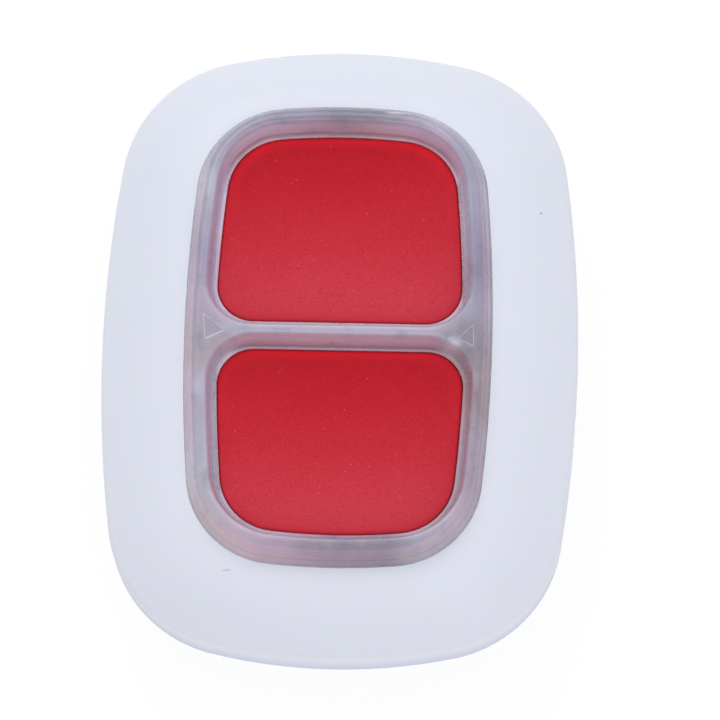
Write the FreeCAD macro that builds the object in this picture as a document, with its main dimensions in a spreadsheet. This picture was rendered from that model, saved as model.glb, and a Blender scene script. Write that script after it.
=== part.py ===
import FreeCAD, Part
import math
import os

import Sketcher
from FreeCAD import Placement, Rotation, Vector

# Two-button wireless panic button, lying on its back.
# Millimetres. Z = 0 is the rear face, +Z comes out of the front, +Y points to the upper button.
# The origin is under the middle of the case.

SIZES = (
    # Case outline at its edge line, made of eight tangent arcs
    ("body_width", 35.2),
    ("body_length", 46.7),
    ("body_side_arc", 96.6),
    ("body_end_arc", 40.1),
    ("body_corner_arc", 10.0),
    # Opening for the light guide, of the same kind
    ("rim_width", 22.52),
    ("rim_length", 35.14),
    ("rim_side_arc", 116.1),
    ("rim_end_arc", 49.1),
    ("rim_corner_arc", 6.75),
    # Heights of the case above the rear face
    ("parting_height", 7.0),
    ("edge_height", 10.4),
    ("crown_bulge", 1.55),
    ("edge_rounding", 1.0),
    ("rear_taper", 2.1),
    ("rear_rounding", 0.8),
    # Walls of the case
    ("floor_wall", 1.6),
    ("side_wall", 2.0),
    ("rear_wall", 1.7),
    ("crown_wall", 1.9),
    ("rim_depth", 2.3),
    ("collar_width", 2.0),
    # How far a cut runs past the face it opens
    ("cut_margin", 1.0),
    # Seal in the joint between the shells
    ("seal_inset", 0.6),
    ("seal_groove_width", 0.8),
    ("seal_depth", 0.7),
    ("seal_clearance", 0.04),
    # Case screws, placed from the sides and ends of the opening
    ("screw_outset", 0.2),
    ("screw_inset", 1.6),
    ("screw_boss", 2.8),
    ("screw_rear_boss", 4.0),
    ("screw_shank", 1.5),
    ("screw_length", 8.0),
    ("screw_head", 2.4),
    ("screw_head_height", 1.2),
    ("screw_seat", 1.9),
    ("screw_hole_clearance", 0.1),
    ("screw_head_clearance", 0.1),
    ("screw_tip_clearance", 0.3),
    ("screw_cross_length", 1.5),
    ("screw_cross_width", 0.4),
    ("screw_cross_depth", 0.6),
    # Coin cell, its cradle and its contacts
    ("cell_diameter", 20.0),
    ("cell_thickness", 3.2),
    ("cell_end_room", 4.95),
    ("cell_edge", 0.4),
    ("cell_cap_diameter", 17.4),
    ("cell_cap_height", 0.25),
    ("clip_thickness", 0.3),
    ("clip_width", 6.0),
    ("clip_clearance", 0.1),
    ("cradle_wall", 0.9),
    ("cradle_height", 2.4),
    ("cradle_clearance", 0.25),
    ("cradle_gap", 0.5),
    ("contact_height", 0.5),
    ("contact_sheet", 0.2),
    ("contact_diameter", 9.0),
    ("contact_tip", 2.4),
    ("contact_ring", 1.2),
    # Circuit board
    ("board_thickness", 1.0),
    ("board_clearance", 0.6),
    ("board_notch_clearance", 0.4),
    ("post_inset", 1.0),
    ("post_end", 9.0),
    ("post_diameter", 2.0),
    # Switches under the buttons
    ("button_travel", 0.5),
    ("switch_width", 5.2),
    ("switch_height", 2.2),
    ("switch_corner", 0.5),
    ("switch_collar", 3.8),
    ("switch_collar_height", 0.4),
    ("plunger_diameter", 2.6),
    ("plunger_clearance", 0.05),
    ("plunger_rise", 0.65),
    ("plunger_depth", 0.9),
    ("plunger_edge", 0.2),
    # Button carrier
    ("carrier_leg", 1.8),
    ("carrier_plate", 1.2),
    ("carrier_outset", 0.7),
    ("carrier_inset", 1.35),
    ("carrier_ear_width", 2.6),
    ("carrier_ear_reach", 0.6),
    ("carrier_ear_thickness", 0.8),
    ("switch_window_clearance", 0.25),
    # Light guide
    ("guide_gap", 0.05),
    ("guide_width", 2.2),
    ("guide_bar", 1.9),
    ("guide_flange", 0.7),
    ("guide_flange_thickness", 1.0),
    ("outer_slope_width", 0.7),
    ("outer_slope_drop", 1.35),
    ("inner_slope_width", 0.55),
    ("inner_slope_drop", 1.9),
    ("ridge_rounding", 0.25),
    ("window_far_corner", 4.2),
    ("window_near_corner", 2.7),
    ("leg_width", 2.4),
    ("leg_thickness", 1.2),
    ("leg_outset", 0.5),
    ("leg_lamp_gap", 0.2),
    ("leg_clearance", 0.25),
    # Button caps
    ("cap_gap", 0.13),
    ("cap_height", 3.4),
    ("cap_recess", 2.4),
    ("cap_skin", 2.2),
    ("cap_wall", 1.0),
    ("cap_rounding", 0.3),
    ("cap_lip_width", 0.5),
    ("cap_lip_height", 0.9),
    ("cap_lip_gap", 0.1),
    ("cap_skirt_gap", 0.1),
    ("dish_depth", 0.6),
    ("dish_top_share", 0.94),
    ("dish_middle_share", 0.72),
    ("dish_floor_share", 0.36),
    ("dish_middle_depth_share", 0.68),
    # Rubber boots
    ("boot_ring_diameter", 10.8),
    ("boot_ring_width", 1.1),
    ("boot_ring_height", 0.6),
    ("boot_web", 0.4),
    ("boot_pad_diameter", 4.0),
    ("boot_stem_diameter", 2.6),
    ("boot_pad_height", 0.5),
    ("boot_stem_gap", 0.1),
    # Indicator lamps
    ("lamp_length", 1.6),
    ("lamp_width", 0.8),
    ("lamp_base", 0.35),
    ("lamp_lens", 0.45),
    ("lamp_lens_length", 1.1),
    # Other parts on the board
    ("chip_width", 5.0),
    ("chip_height", 0.85),
    ("chip_corner", 0.5),
    ("chip_inset", 3.26),
    ("chip_end", 4.5),
    ("crystal_length", 3.2),
    ("crystal_width", 2.5),
    ("crystal_height", 0.8),
    ("crystal_rounding", 0.4),
    ("crystal_end", 0.5),
    ("capacitor_length", 6.0),
    ("capacitor_width", 3.2),
    ("capacitor_height", 1.5),
    ("capacitor_draft", 6.0),
    ("capacitor_inset", 4.26),
    ("capacitor_end", 4.0),
    ("antenna_length", 6.5),
    ("antenna_height", 1.5),
    ("antenna_strip", 0.6),
    ("antenna_sheet", 0.3),
    ("antenna_side", 5.5),
    ("antenna_end_room", 4.35),
)

# Levels inside the case, stacked from the floor up
CELL_TOP = "(sizes.floor_wall + sizes.clip_thickness + sizes.cell_thickness)"
BOARD_BOTTOM = f"({CELL_TOP} + sizes.contact_height)"
BOARD_TOP = f"({BOARD_BOTTOM} + sizes.board_thickness)"
LAMP_TOP = f"({BOARD_TOP} + sizes.lamp_base + sizes.lamp_lens)"
SWITCH_TOP = f"({BOARD_TOP} + sizes.switch_height + sizes.switch_collar_height)"
PLUNGER_TOP = f"({SWITCH_TOP} + sizes.plunger_rise)"
PLATE_BOTTOM = f"({BOARD_TOP} + sizes.carrier_leg)"
PLATE_TOP = f"({PLATE_BOTTOM} + sizes.carrier_plate)"
SKIRT_BOTTOM = f"({PLATE_TOP} + sizes.button_travel + sizes.cap_skirt_gap)"
FLANGE_BOTTOM = f"({SKIRT_BOTTOM} + sizes.cap_lip_height + sizes.cap_lip_gap)"
FLANGE_TOP = f"({FLANGE_BOTTOM} + sizes.guide_flange_thickness)"
RIM_TOP = f"({FLANGE_TOP} + sizes.rim_depth)"
CAP_TOP = f"({SKIRT_BOTTOM} + sizes.cap_height)"
CAP_UNDERSIDE = f"({CAP_TOP} - sizes.cap_skin)"
RIDGE_TOP = f"({CAP_TOP} + sizes.cap_recess)"

# Places across the case that several pieces share
BUTTON_CENTRE = "((sizes.rim_length / 2 - sizes.guide_width + sizes.guide_bar / 2) / 2)"
SCREW_SIDE = "(sizes.rim_width / 2 + sizes.screw_outset)"
SCREW_END = "(sizes.rim_length / 2 - sizes.screw_inset)"
CELL_OFFSET = "(sizes.body_length / 2 - sizes.cell_end_room - sizes.cell_diameter / 2)"
CLIP_INSIDE = "(sizes.cell_diameter / 2 + sizes.clip_clearance)"
CLIP_OUTSIDE = f"({CLIP_INSIDE} + sizes.clip_thickness)"
POST_SIDE = f"((sizes.body_width / 2 + {CLIP_OUTSIDE}) / 2 - sizes.post_inset)"
CHIP_SIDE = "(sizes.rim_width / 2 - sizes.chip_inset)"

# Shares of the way from the edge line to the opening where the crown has a section
CROWN_SHARES = ("0", "(1 / 3)", "(2 / 3)", "1")

doc = FreeCAD.newDocument("panic_button")
sheet = doc.addObject("Spreadsheet::Sheet", "sizes")
for row, (alias, number) in enumerate(SIZES, start=1):
    sheet.set(f"A{row}", alias)
    sheet.set(f"B{row}", str(number))
    sheet.setAlias(f"B{row}", alias)
doc.recompute()


def value(expression):
    """Number that an expression on the size sheet gives."""
    return float(sheet.evalExpression(expression))


class Outline:
    """Outline of eight tangent arcs, symmetric both ways, each size an expression."""

    def __init__(self, half_width, half_length, side_arc, end_arc, corner_arc):
        self.sizes = (half_width, half_length, side_arc, end_arc, corner_arc)

    def inset(self, distance):
        """The same outline moved inwards all round."""
        return Outline(*(f"({size} - {distance})" for size in self.sizes))

    def outset(self, distance):
        """The same outline moved outwards all round."""
        return Outline(*(f"({size} + {distance})" for size in self.sizes))

    def toward(self, other, share):
        """Outline part of the way to another one."""
        pairs = zip(self.sizes, other.sizes)
        return Outline(*(f"({near} * (1 - {share}) + {far} * {share})" for near, far in pairs))


def named_outline(family):
    """Outline whose sizes are the sheet's cells of one family."""
    halves = [f"(sizes.{family}_{side} / 2)" for side in ("width", "length")]
    arcs = [f"sizes.{family}_{part}_arc" for part in ("side", "end", "corner")]
    return Outline(*halves, *arcs)


BODY = named_outline("body")
RIM = named_outline("rim")


class Window:
    """Outline of the upper button: the rim's, moved in and cut straight beside the bar.

    A share under 1 shrinks it about the middle of the button.
    """

    def __init__(self, gap="0", share="1"):
        half_width, half_length, side_arc, end_arc, _ = RIM.inset("sizes.guide_width").sizes
        middle = BUTTON_CENTRE
        far_end = f"({half_length} - {gap} - {middle})"
        near_end = f"(sizes.guide_bar / 2 + {gap} - {middle})"
        self.half_width = f"(({half_width} - {gap}) * {share})"
        self.far_end = f"({middle} + {far_end} * {share})"
        self.near_end = f"({middle} + {near_end} * {share})"
        self.side_arc = f"(({side_arc} - {gap}) * {share})"
        self.end_arc = f"(({end_arc} - {gap}) * {share})"
        self.far_corner = f"((sizes.window_far_corner - {gap}) * {share})"
        self.near_corner = f"((sizes.window_near_corner - {gap}) * {share})"
        self.side_height = f"({middle} * (1 - {share}))"


def new_body(label, move=None):
    """Empty body for one sub-part, moved by expressions for X, Y and Z."""
    body = doc.addObject("PartDesign::Body", label)
    body.Label = label
    if move:
        for axis, distance in zip("xyz", move):
            body.setExpression(f"Placement.Base.{axis}", distance)
    return body


def origin_part(body, role):
    """One of the body's own planes or axes."""
    return next(part for part in body.Origin.OriginFeatures if part.Role == role)


def new_sketch(body, name, height="0", plane="XY_Plane"):
    """Sketch on one of the body's own planes, moved along its normal."""
    sketch = body.newObject("Sketcher::SketchObject", name)
    sketch.AttachmentSupport = (origin_part(body, plane), [""])
    sketch.MapMode = "FlatFace"
    if height != "0":
        sketch.setExpression("AttachmentOffset.Base.z", height)
    return sketch


def bind(sketch, name, constraint, expression):
    """Add a constraint and tie its value to an expression."""
    index = sketch.addConstraint(constraint)
    sketch.renameConstraint(index, name)
    sketch.setExpression(f"Constraints.{name}", expression)


def place_point(sketch, name, piece, point, x, y):
    """Fix a point by two expressions, on an axis itself where one is nought."""
    for direction, axis, expression in (("DistanceX", -2, x), ("DistanceY", -1, y)):
        number = value(expression)
        if abs(number) < 1e-9:
            sketch.addConstraint(Sketcher.Constraint("PointOnObject", piece, point, axis))
        else:
            constraint = Sketcher.Constraint(direction, -1, 1, piece, point, number)
            bind(sketch, f"{name}_{direction[-1].lower()}", constraint, expression)


def add_arc(sketch, centre, radius, start, end):
    """Arc from one angle to another, anticlockwise."""
    circle = Part.Circle(Vector(centre[0], centre[1], 0), Vector(0, 0, 1), radius)
    return sketch.addGeometry(Part.ArcOfCircle(circle, start, end), False)


def join_smoothly(sketch, pieces):
    """Join a loop of pieces end to start, each tangent to the next."""
    for piece, following in zip(pieces, pieces[1:] + pieces[:1]):
        sketch.addConstraint(Sketcher.Constraint("Tangent", piece, 2, following, 1))


def same_size(sketch, pairs):
    """Give the arcs of each pair one radius."""
    for first, second in pairs:
        sketch.addConstraint(Sketcher.Constraint("Equal", first, second))


def corner_centre(side_centre, side_reach, end_centre, end_reach):
    """Centre of a corner arc, from its distances to the side and end arcs' centres."""
    gap_x = end_centre[0] - side_centre[0]
    gap_y = end_centre[1] - side_centre[1]
    gap = math.hypot(gap_x, gap_y)
    along = (gap * gap + side_reach**2 - end_reach**2) / (2 * gap)
    across = math.sqrt(side_reach**2 - along**2)
    x = side_centre[0] + (gap_x * along - gap_y * across) / gap
    y = side_centre[1] + (gap_y * along + gap_x * across) / gap
    return x, y


def draw_outline(sketch, name, outline):
    """Draw an outline of eight arcs in a sketch."""
    half_width, half_length, side, end, corner = (value(size) for size in outline.sizes)
    side_x = side - half_width
    end_y = end - half_length
    x, y = corner_centre((-side_x, 0.0), side - corner, (0.0, -end_y), end - corner)
    low = math.atan2(y, x + side_x)
    high = math.atan2(y + end_y, x)
    turn = math.pi
    right = add_arc(sketch, (-side_x, 0.0), side, -low, low)
    first = add_arc(sketch, (x, y), corner, low, high)
    top = add_arc(sketch, (0.0, -end_y), end, high, turn - high)
    second = add_arc(sketch, (-x, y), corner, turn - high, turn - low)
    left = add_arc(sketch, (side_x, 0.0), side, turn - low, turn + low)
    third = add_arc(sketch, (-x, -y), corner, turn + low, turn + high)
    bottom = add_arc(sketch, (0.0, end_y), end, turn + high, 2 * turn - high)
    fourth = add_arc(sketch, (x, -y), corner, -high, -low)
    join_smoothly(sketch, [right, first, top, second, left, third, bottom, fourth])
    sketch.addConstraint(Sketcher.Constraint("PointOnObject", right, 3, -1))
    sketch.addConstraint(Sketcher.Constraint("PointOnObject", top, 3, -2))
    sketch.addConstraint(Sketcher.Constraint("Symmetric", right, 3, left, 3, -1, 1))
    sketch.addConstraint(Sketcher.Constraint("Symmetric", top, 3, bottom, 3, -1, 1))
    same_size(sketch, [(right, left), (top, bottom), (first, second), (first, third), (first, fourth)])
    width, length, side_size, end_size, corner_size = outline.sizes
    bind(sketch, f"{name}_side", Sketcher.Constraint("Radius", right, side), side_size)
    bind(sketch, f"{name}_end", Sketcher.Constraint("Radius", top, end), end_size)
    bind(sketch, f"{name}_corner", Sketcher.Constraint("Radius", first, corner), corner_size)
    across = Sketcher.Constraint("DistanceX", right, 3, -1, 1, side_x)
    along = Sketcher.Constraint("DistanceY", top, 3, -1, 1, end_y)
    bind(sketch, f"{name}_across", across, f"{side_size} - {width}")
    bind(sketch, f"{name}_along", along, f"{end_size} - {length}")


def outline_sketch(body, name, height, *outlines):
    """Sketch of one outline, or of a ring between two."""
    sketch = new_sketch(body, name, height)
    for index, outline in enumerate(outlines):
        draw_outline(sketch, f"loop{index}", outline)
    return sketch


def window_sketch(body, name, height, window):
    """Sketch of the upper button's outline, symmetric left to right."""
    side, end = value(window.side_arc), value(window.end_arc)
    far, near = value(window.far_corner), value(window.near_corner)
    near_end, level = value(window.near_end), value(window.side_height)
    side_x = side - value(window.half_width)
    end_y = value(window.far_end) - end
    far_x, far_y = corner_centre((-side_x, level), side - far, (0.0, end_y), end - far)
    near_y = near_end + near
    low = math.asin((near_y - level) / (side - near))
    near_x = (side - near) * math.cos(low) - side_x
    high = math.atan2(far_y - level, far_x + side_x)
    steep = math.atan2(far_y - end_y, far_x)
    turn = math.pi
    sketch = new_sketch(body, name, height)
    right = add_arc(sketch, (-side_x, level), side, low, high)
    first = add_arc(sketch, (far_x, far_y), far, high, steep)
    top = add_arc(sketch, (0.0, end_y), end, steep, turn - steep)
    second = add_arc(sketch, (-far_x, far_y), far, turn - steep, turn - high)
    left = add_arc(sketch, (side_x, level), side, turn - high, turn - low)
    third = add_arc(sketch, (-near_x, near_y), near, turn - low, 1.5 * turn)
    start, finish = Vector(-near_x, near_end, 0), Vector(near_x, near_end, 0)
    bar = sketch.addGeometry(Part.LineSegment(start, finish), False)
    fourth = add_arc(sketch, (near_x, near_y), near, 1.5 * turn, 2 * turn + low)
    join_smoothly(sketch, [right, first, top, second, left, third, bar, fourth])
    sketch.addConstraint(Sketcher.Constraint("Symmetric", right, 3, left, 3, -2))
    sketch.addConstraint(Sketcher.Constraint("Horizontal", bar))
    same_size(sketch, [(right, left), (first, second), (third, fourth)])
    bind(sketch, "side_arc", Sketcher.Constraint("Radius", right, side), window.side_arc)
    bind(sketch, "end_arc", Sketcher.Constraint("Radius", top, end), window.end_arc)
    bind(sketch, "far_arc", Sketcher.Constraint("Radius", first, far), window.far_corner)
    bind(sketch, "near_arc", Sketcher.Constraint("Radius", third, near), window.near_corner)
    side_place = f"{window.half_width} - {window.side_arc}"
    place_point(sketch, "side_centre", right, 3, side_place, window.side_height)
    place_point(sketch, "end_centre", top, 3, "0", f"{window.far_end} - {window.end_arc}")
    edge = Sketcher.Constraint("DistanceY", -1, 1, bar, 1, near_end)
    bind(sketch, "bar_edge", edge, window.near_end)
    return sketch


def draw_polygon(sketch, name, points):
    """Draw a closed run of straight lines, each corner placed by two expressions."""
    corners = [Vector(value(x), value(y), 0) for x, y in points]
    lines = []
    for start, finish in zip(corners, corners[1:] + corners[:1]):
        lines.append(sketch.addGeometry(Part.LineSegment(start, finish), False))
    for line, following in zip(lines, lines[1:] + lines[:1]):
        sketch.addConstraint(Sketcher.Constraint("Coincident", line, 2, following, 1))
    for line, (x, y) in zip(lines, points):
        place_point(sketch, f"{name}_{line}", line, 1, x, y)


def polygon_sketch(body, name, points, height="0", plane="XY_Plane"):
    """Sketch of one closed run of straight lines."""
    sketch = new_sketch(body, name, height, plane)
    draw_polygon(sketch, "corner", points)
    return sketch


def boxes_sketch(body, name, height, boxes):
    """Sketch of rectangles, each a middle X and Y, a width and a length."""
    sketch = new_sketch(body, name, height)
    for index, (x, y, width, length) in enumerate(boxes):
        left, right = f"({x} - {width} / 2)", f"({x} + {width} / 2)"
        low, high = f"({y} - {length} / 2)", f"({y} + {length} / 2)"
        corners = [(left, low), (right, low), (right, high), (left, high)]
        draw_polygon(sketch, f"box{index}", corners)
    return sketch


def circles_sketch(body, name, height, circles):
    """Sketch of circles, each a centre X and Y and a diameter."""
    sketch = new_sketch(body, name, height)
    for index, (x, y, diameter) in enumerate(circles):
        size = value(diameter)
        circle = Part.Circle(Vector(value(x), value(y), 0), Vector(0, 0, 1), size / 2)
        piece = sketch.addGeometry(circle, False)
        bind(sketch, f"width_{index}", Sketcher.Constraint("Diameter", piece, size), diameter)
        place_point(sketch, f"centre_{index}", piece, 3, x, y)
    return sketch


def four_places(side, end):
    """One place in each quarter of the case."""
    return [(f"({right} * {side})", f"({up} * {end})") for right in (-1, 1) for up in (-1, 1)]


def circles_at(places, diameter):
    """Circles of one diameter at several places."""
    return [(x, y, diameter) for x, y in places]


def volume(body):
    """Volume of the body so far."""
    return body.Shape.Volume if body.Tip else 0.0


def finish_feature(body, item, before, grows):
    """Make a feature the body's tip and check that it adds or cuts as meant."""
    body.Tip = item
    doc.recompute()
    change = body.Shape.Volume - before
    sound = len(body.Shape.Solids) == 1 and body.Shape.isValid()
    if (change > 0) != grows or abs(change) < 1e-6 or not sound:
        raise ValueError(f"{body.Label} {item.Name} changed the volume by {change:.4f}")
    return item


def from_sketch(body, kind, name, sketch, grows, expressions=(), **settings):
    """Sketch-based feature with its settings and bound sizes."""
    before = volume(body)
    item = body.newObject(f"PartDesign::{kind}", name)
    item.Profile = sketch
    for setting, amount in settings.items():
        setattr(item, setting, amount)
    for setting, expression in expressions:
        item.setExpression(setting, expression)
    return finish_feature(body, item, before, grows)


def pad(body, name, sketch, length, **settings):
    """Pad upwards from a sketch."""
    return from_sketch(body, "Pad", name, sketch, True, [("Length", length)], **settings)


def pocket(body, name, sketch, length):
    """Pocket upwards from a sketch."""
    return from_sketch(body, "Pocket", name, sketch, False, [("Length", length)], Reversed=True)


def loft(body, name, sections, grows=True):
    """Smooth loft through sketches, added or cut away."""
    kind = "AdditiveLoft" if grows else "SubtractiveLoft"
    return from_sketch(body, kind, name, sections[0], grows, Sections=sections[1:], Ruled=False)


def revolve(body, name, points):
    """Full turn of a half section, each point a distance from the axis and a height."""
    sketch = polygon_sketch(body, f"{name}_section", points, plane="XZ_Plane")
    axis = (origin_part(body, "Z_Axis"), [""])
    return from_sketch(body, "Revolution", name, sketch, True, ReferenceAxis=axis, Angle=360)


def round_edges(body, name, edges, radius):
    """Fillet on named edges of the body so far."""
    before = volume(body)
    base = body.Tip
    item = body.newObject("PartDesign::Fillet", name)
    item.Base = (base, edges)
    item.setExpression("Radius", radius)
    return finish_feature(body, item, before, False)


def half_turn_copy(body, name, features):
    """Repeat features half a turn round the upright axis."""
    before = volume(body)
    item = body.newObject("PartDesign::PolarPattern", name)
    item.Originals = features
    item.Axis = (origin_part(body, "Z_Axis"), [""])
    item.Angle = 360
    item.Occurrences = 2
    return finish_feature(body, item, before, False)


def hollow_out(body, cavity):
    """Cut another body, the shape of the hollow, out of this one."""
    before = volume(body)
    item = body.newObject("PartDesign::Boolean", "hollow")
    item.setObjects([cavity])
    item.Type = "Cut"
    finish_feature(body, item, before, False)


def edge_names(body, test):
    """Names of the body's edges that pass a test."""
    return [f"Edge{number}" for number, edge in enumerate(body.Tip.Shape.Edges, start=1) if test(edge)]


def level_at(height):
    """Test for an edge that lies level at a height."""
    return lambda edge: abs(edge.BoundBox.ZMin - height) < 1e-4 and abs(edge.BoundBox.ZMax - height) < 1e-4


def upright(edge):
    """Whether an edge runs straight up."""
    box = edge.BoundBox
    return box.XLength < 1e-4 and box.YLength < 1e-4


def face_at(body, height):
    """The body's largest flat face at a height."""
    faces = [face for face in body.Tip.Shape.Faces if level_at(height)(face)]
    return max(faces, key=lambda face: face.Area)


def crown_height(share):
    """Height of the front face part of the way from the edge line to the opening."""
    rise = f"({RIM_TOP} - sizes.edge_height)"
    return f"(sizes.edge_height + {rise} * (1 - (1 - {share}) ^ sizes.crown_bulge))"


def screw_circles(body, name, height, diameter):
    """Sketch of a circle at each case screw."""
    places = four_places(SCREW_SIDE, SCREW_END)
    return circles_sketch(body, name, height, circles_at(places, diameter))


def front_cavity():
    """Hollow of the front shell, with the screw bosses and the collar left standing."""
    body = new_body("front_cavity")
    inner = BODY.inset("sizes.side_wall")
    below = "(sizes.parting_height - sizes.cut_margin)"
    start = f"({crown_height('0')} - sizes.crown_wall)"
    pad(body, "cavity_side", outline_sketch(body, "cavity_outline", below, inner), f"{start} - {below}")
    sections = []
    for share in CROWN_SHARES:
        name = f"cavity_section_{len(sections)}"
        height = f"({crown_height(share)} - sizes.crown_wall)"
        sections.append(outline_sketch(body, name, height, inner.toward(RIM, share)))
    loft(body, "cavity_crown", sections)
    bosses = screw_circles(body, "boss_circles", below, "sizes.screw_boss")
    pocket(body, "boss_holes", bosses, RIM_TOP)
    collar = RIM.outset("sizes.collar_width")
    collar_sketch = outline_sketch(body, "collar_outline", FLANGE_TOP, collar)
    pocket(body, "collar_hole", collar_sketch, "sizes.rim_depth")
    return body


def front_shell():
    """Domed cover with an opening for the light guide."""
    body = new_body("front_shell")
    side = outline_sketch(body, "side_outline", "sizes.parting_height", BODY)
    pad(body, "side", side, "sizes.edge_height - sizes.parting_height")
    sections = []
    for share in CROWN_SHARES:
        name = f"section_{len(sections)}"
        sections.append(outline_sketch(body, name, crown_height(share), BODY.toward(RIM, share)))
    loft(body, "crown", sections)
    edge_line = edge_names(body, level_at(value("sizes.edge_height")))
    round_edges(body, "edge", edge_line, "sizes.edge_rounding")
    hollow_out(body, front_cavity())
    opening = outline_sketch(body, "opening_outline", "sizes.parting_height", RIM)
    pocket(body, "opening", opening, RIM_TOP)
    hole = "(sizes.screw_shank + sizes.screw_hole_clearance)"
    depth = "sizes.screw_seat + sizes.screw_length + sizes.screw_tip_clearance - sizes.parting_height"
    pocket(body, "screw_holes", screw_circles(body, "hole_circles", "sizes.parting_height", hole), depth)
    return body


def rear_cavity():
    """Hollow of the rear shell, with what stands on its floor left standing."""
    body = new_body("rear_cavity")
    floor = "sizes.floor_wall"
    taper = "(sizes.rear_taper * (1 - sizes.floor_wall / sizes.parting_height))"
    low = outline_sketch(body, "cavity_low", floor, BODY.inset(f"({taper} + sizes.rear_wall)"))
    high = outline_sketch(body, "cavity_high", "sizes.parting_height", BODY.inset("sizes.side_wall"))
    loft(body, "cavity", [low, high])
    above = outline_sketch(body, "cavity_above", "sizes.parting_height", BODY.inset("sizes.side_wall"))
    pad(body, "mouth", above, "sizes.cut_margin")
    bosses = screw_circles(body, "boss_circles", floor, "sizes.screw_rear_boss")
    pocket(body, "boss_holes", bosses, "sizes.parting_height - sizes.floor_wall")
    posts = circles_at(four_places(POST_SIDE, "sizes.post_end"), "sizes.post_diameter")
    post_sketch = circles_sketch(body, "post_circles", floor, posts)
    pocket(body, "post_holes", post_sketch, f"{BOARD_BOTTOM} - sizes.floor_wall")
    bore = "(sizes.cell_diameter + 2 * sizes.cradle_clearance)"
    rim = f"({bore} + 2 * sizes.cradle_wall)"
    middle = [("0", f"(0 - {CELL_OFFSET})")]
    rings = circles_at(middle, bore) + circles_at(middle, rim)
    pocket(body, "cradle_hole", circles_sketch(body, "cradle_circles", floor, rings), "sizes.cradle_height")
    gap_length = "(sizes.clip_width + 2 * sizes.cradle_gap)"
    gap = ("0", f"(0 - {CELL_OFFSET})", f"({rim} + sizes.cut_margin)", gap_length)
    pad(body, "clip_gap", boxes_sketch(body, "gap_box", floor, [gap]), "sizes.cradle_height")
    return body


def rear_shell():
    """Tapered tray that closes the case, with screw bosses, board posts and the cell's cradle."""
    body = new_body("rear_shell")
    low = outline_sketch(body, "rear_outline", "0", BODY.inset("sizes.rear_taper"))
    high = outline_sketch(body, "parting_outline", "sizes.parting_height", BODY)
    loft(body, "block", [high, low])
    round_edges(body, "rear_edge", edge_names(body, level_at(0.0)), "sizes.rear_rounding")
    hollow_out(body, rear_cavity())
    groove_floor = "(sizes.parting_height - sizes.seal_depth)"
    outside = BODY.inset("sizes.seal_inset")
    inside = BODY.inset("(sizes.seal_inset + sizes.seal_groove_width)")
    groove = outline_sketch(body, "groove_ring", groove_floor, outside, inside)
    pocket(body, "seal_groove", groove, "sizes.seal_depth")
    head = "(sizes.screw_head + 2 * sizes.screw_head_clearance)"
    pocket(body, "screw_heads", screw_circles(body, "head_circles", "0", head), "sizes.screw_seat")
    hole = "(sizes.screw_shank + 2 * sizes.screw_hole_clearance)"
    pocket(body, "screw_holes", screw_circles(body, "hole_circles", "0", hole), "sizes.parting_height")
    return body


def case_seal():
    """Rubber ring that fills the groove between the shells."""
    body = new_body("case_seal")
    outside = BODY.inset("(sizes.seal_inset + sizes.seal_clearance)")
    inside = BODY.inset("(sizes.seal_inset + sizes.seal_groove_width - sizes.seal_clearance)")
    ring = outline_sketch(body, "ring", "sizes.parting_height - sizes.seal_depth", outside, inside)
    pad(body, "seal", ring, "sizes.seal_depth")
    return body


def leg_boxes(clearance, reach):
    """The light guide's four legs, widened by a clearance and lengthened outwards."""
    boxes = []
    thickness = f"(sizes.leg_thickness + 2 * {clearance} + {reach})"
    width = f"(sizes.leg_width + 2 * {clearance})"
    for sign in (1, -1):
        middle = f"(sizes.leg_outset - sizes.leg_thickness / 2 + {reach} / 2)"
        side = f"({sign} * (sizes.rim_width / 2 + {middle}))"
        end = f"({sign} * (sizes.rim_length / 2 + {middle}))"
        boxes.append((side, "0", thickness, width))
        boxes.append(("0", end, width, thickness))
    return boxes


def light_guide():
    """Clear frame round both buttons: a flange, a ridge that slopes both ways, a bar and four legs."""
    body = new_body("light_guide")
    legs = boxes_sketch(body, "leg_boxes", f"({LAMP_TOP} + sizes.leg_lamp_gap)", leg_boxes("0", "0"))
    flange = outline_sketch(body, "flange_outline", FLANGE_BOTTOM, RIM.outset("sizes.guide_flange"))
    pad(body, "flange", flange, "sizes.guide_flange_thickness")
    pad(body, "legs", legs, f"{FLANGE_BOTTOM} - {LAMP_TOP} - sizes.leg_lamp_gap")
    foot = RIM.inset("sizes.guide_gap")
    slope_start = f"({RIDGE_TOP} - sizes.outer_slope_drop)"
    block = outline_sketch(body, "block_outline", FLANGE_TOP, foot)
    pad(body, "block", block, f"{slope_start} - {FLANGE_TOP}")
    slope_foot = outline_sketch(body, "slope_foot", slope_start, foot)
    slope_top = outline_sketch(body, "slope_top", RIDGE_TOP, foot.inset("sizes.outer_slope_width"))
    loft(body, "outer_slope", [slope_foot, slope_top])
    window = window_sketch(body, "window_outline", FLANGE_BOTTOM, Window())
    opening = pocket(body, "upper_window", window, f"{RIDGE_TOP} - {FLANGE_BOTTOM}")
    mouth_start = f"({RIDGE_TOP} - sizes.inner_slope_drop)"
    mouth_foot = window_sketch(body, "mouth_foot", mouth_start, Window())
    mouth_top = window_sketch(body, "mouth_top", RIDGE_TOP, Window("(0 - sizes.inner_slope_width)"))
    mouth = loft(body, "upper_mouth", [mouth_foot, mouth_top], grows=False)
    half_turn_copy(body, "lower_window", [opening, mouth])
    ridge = edge_names(body, level_at(value(RIDGE_TOP)))
    round_edges(body, "ridge", ridge, "sizes.ridge_rounding")
    return body


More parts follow.
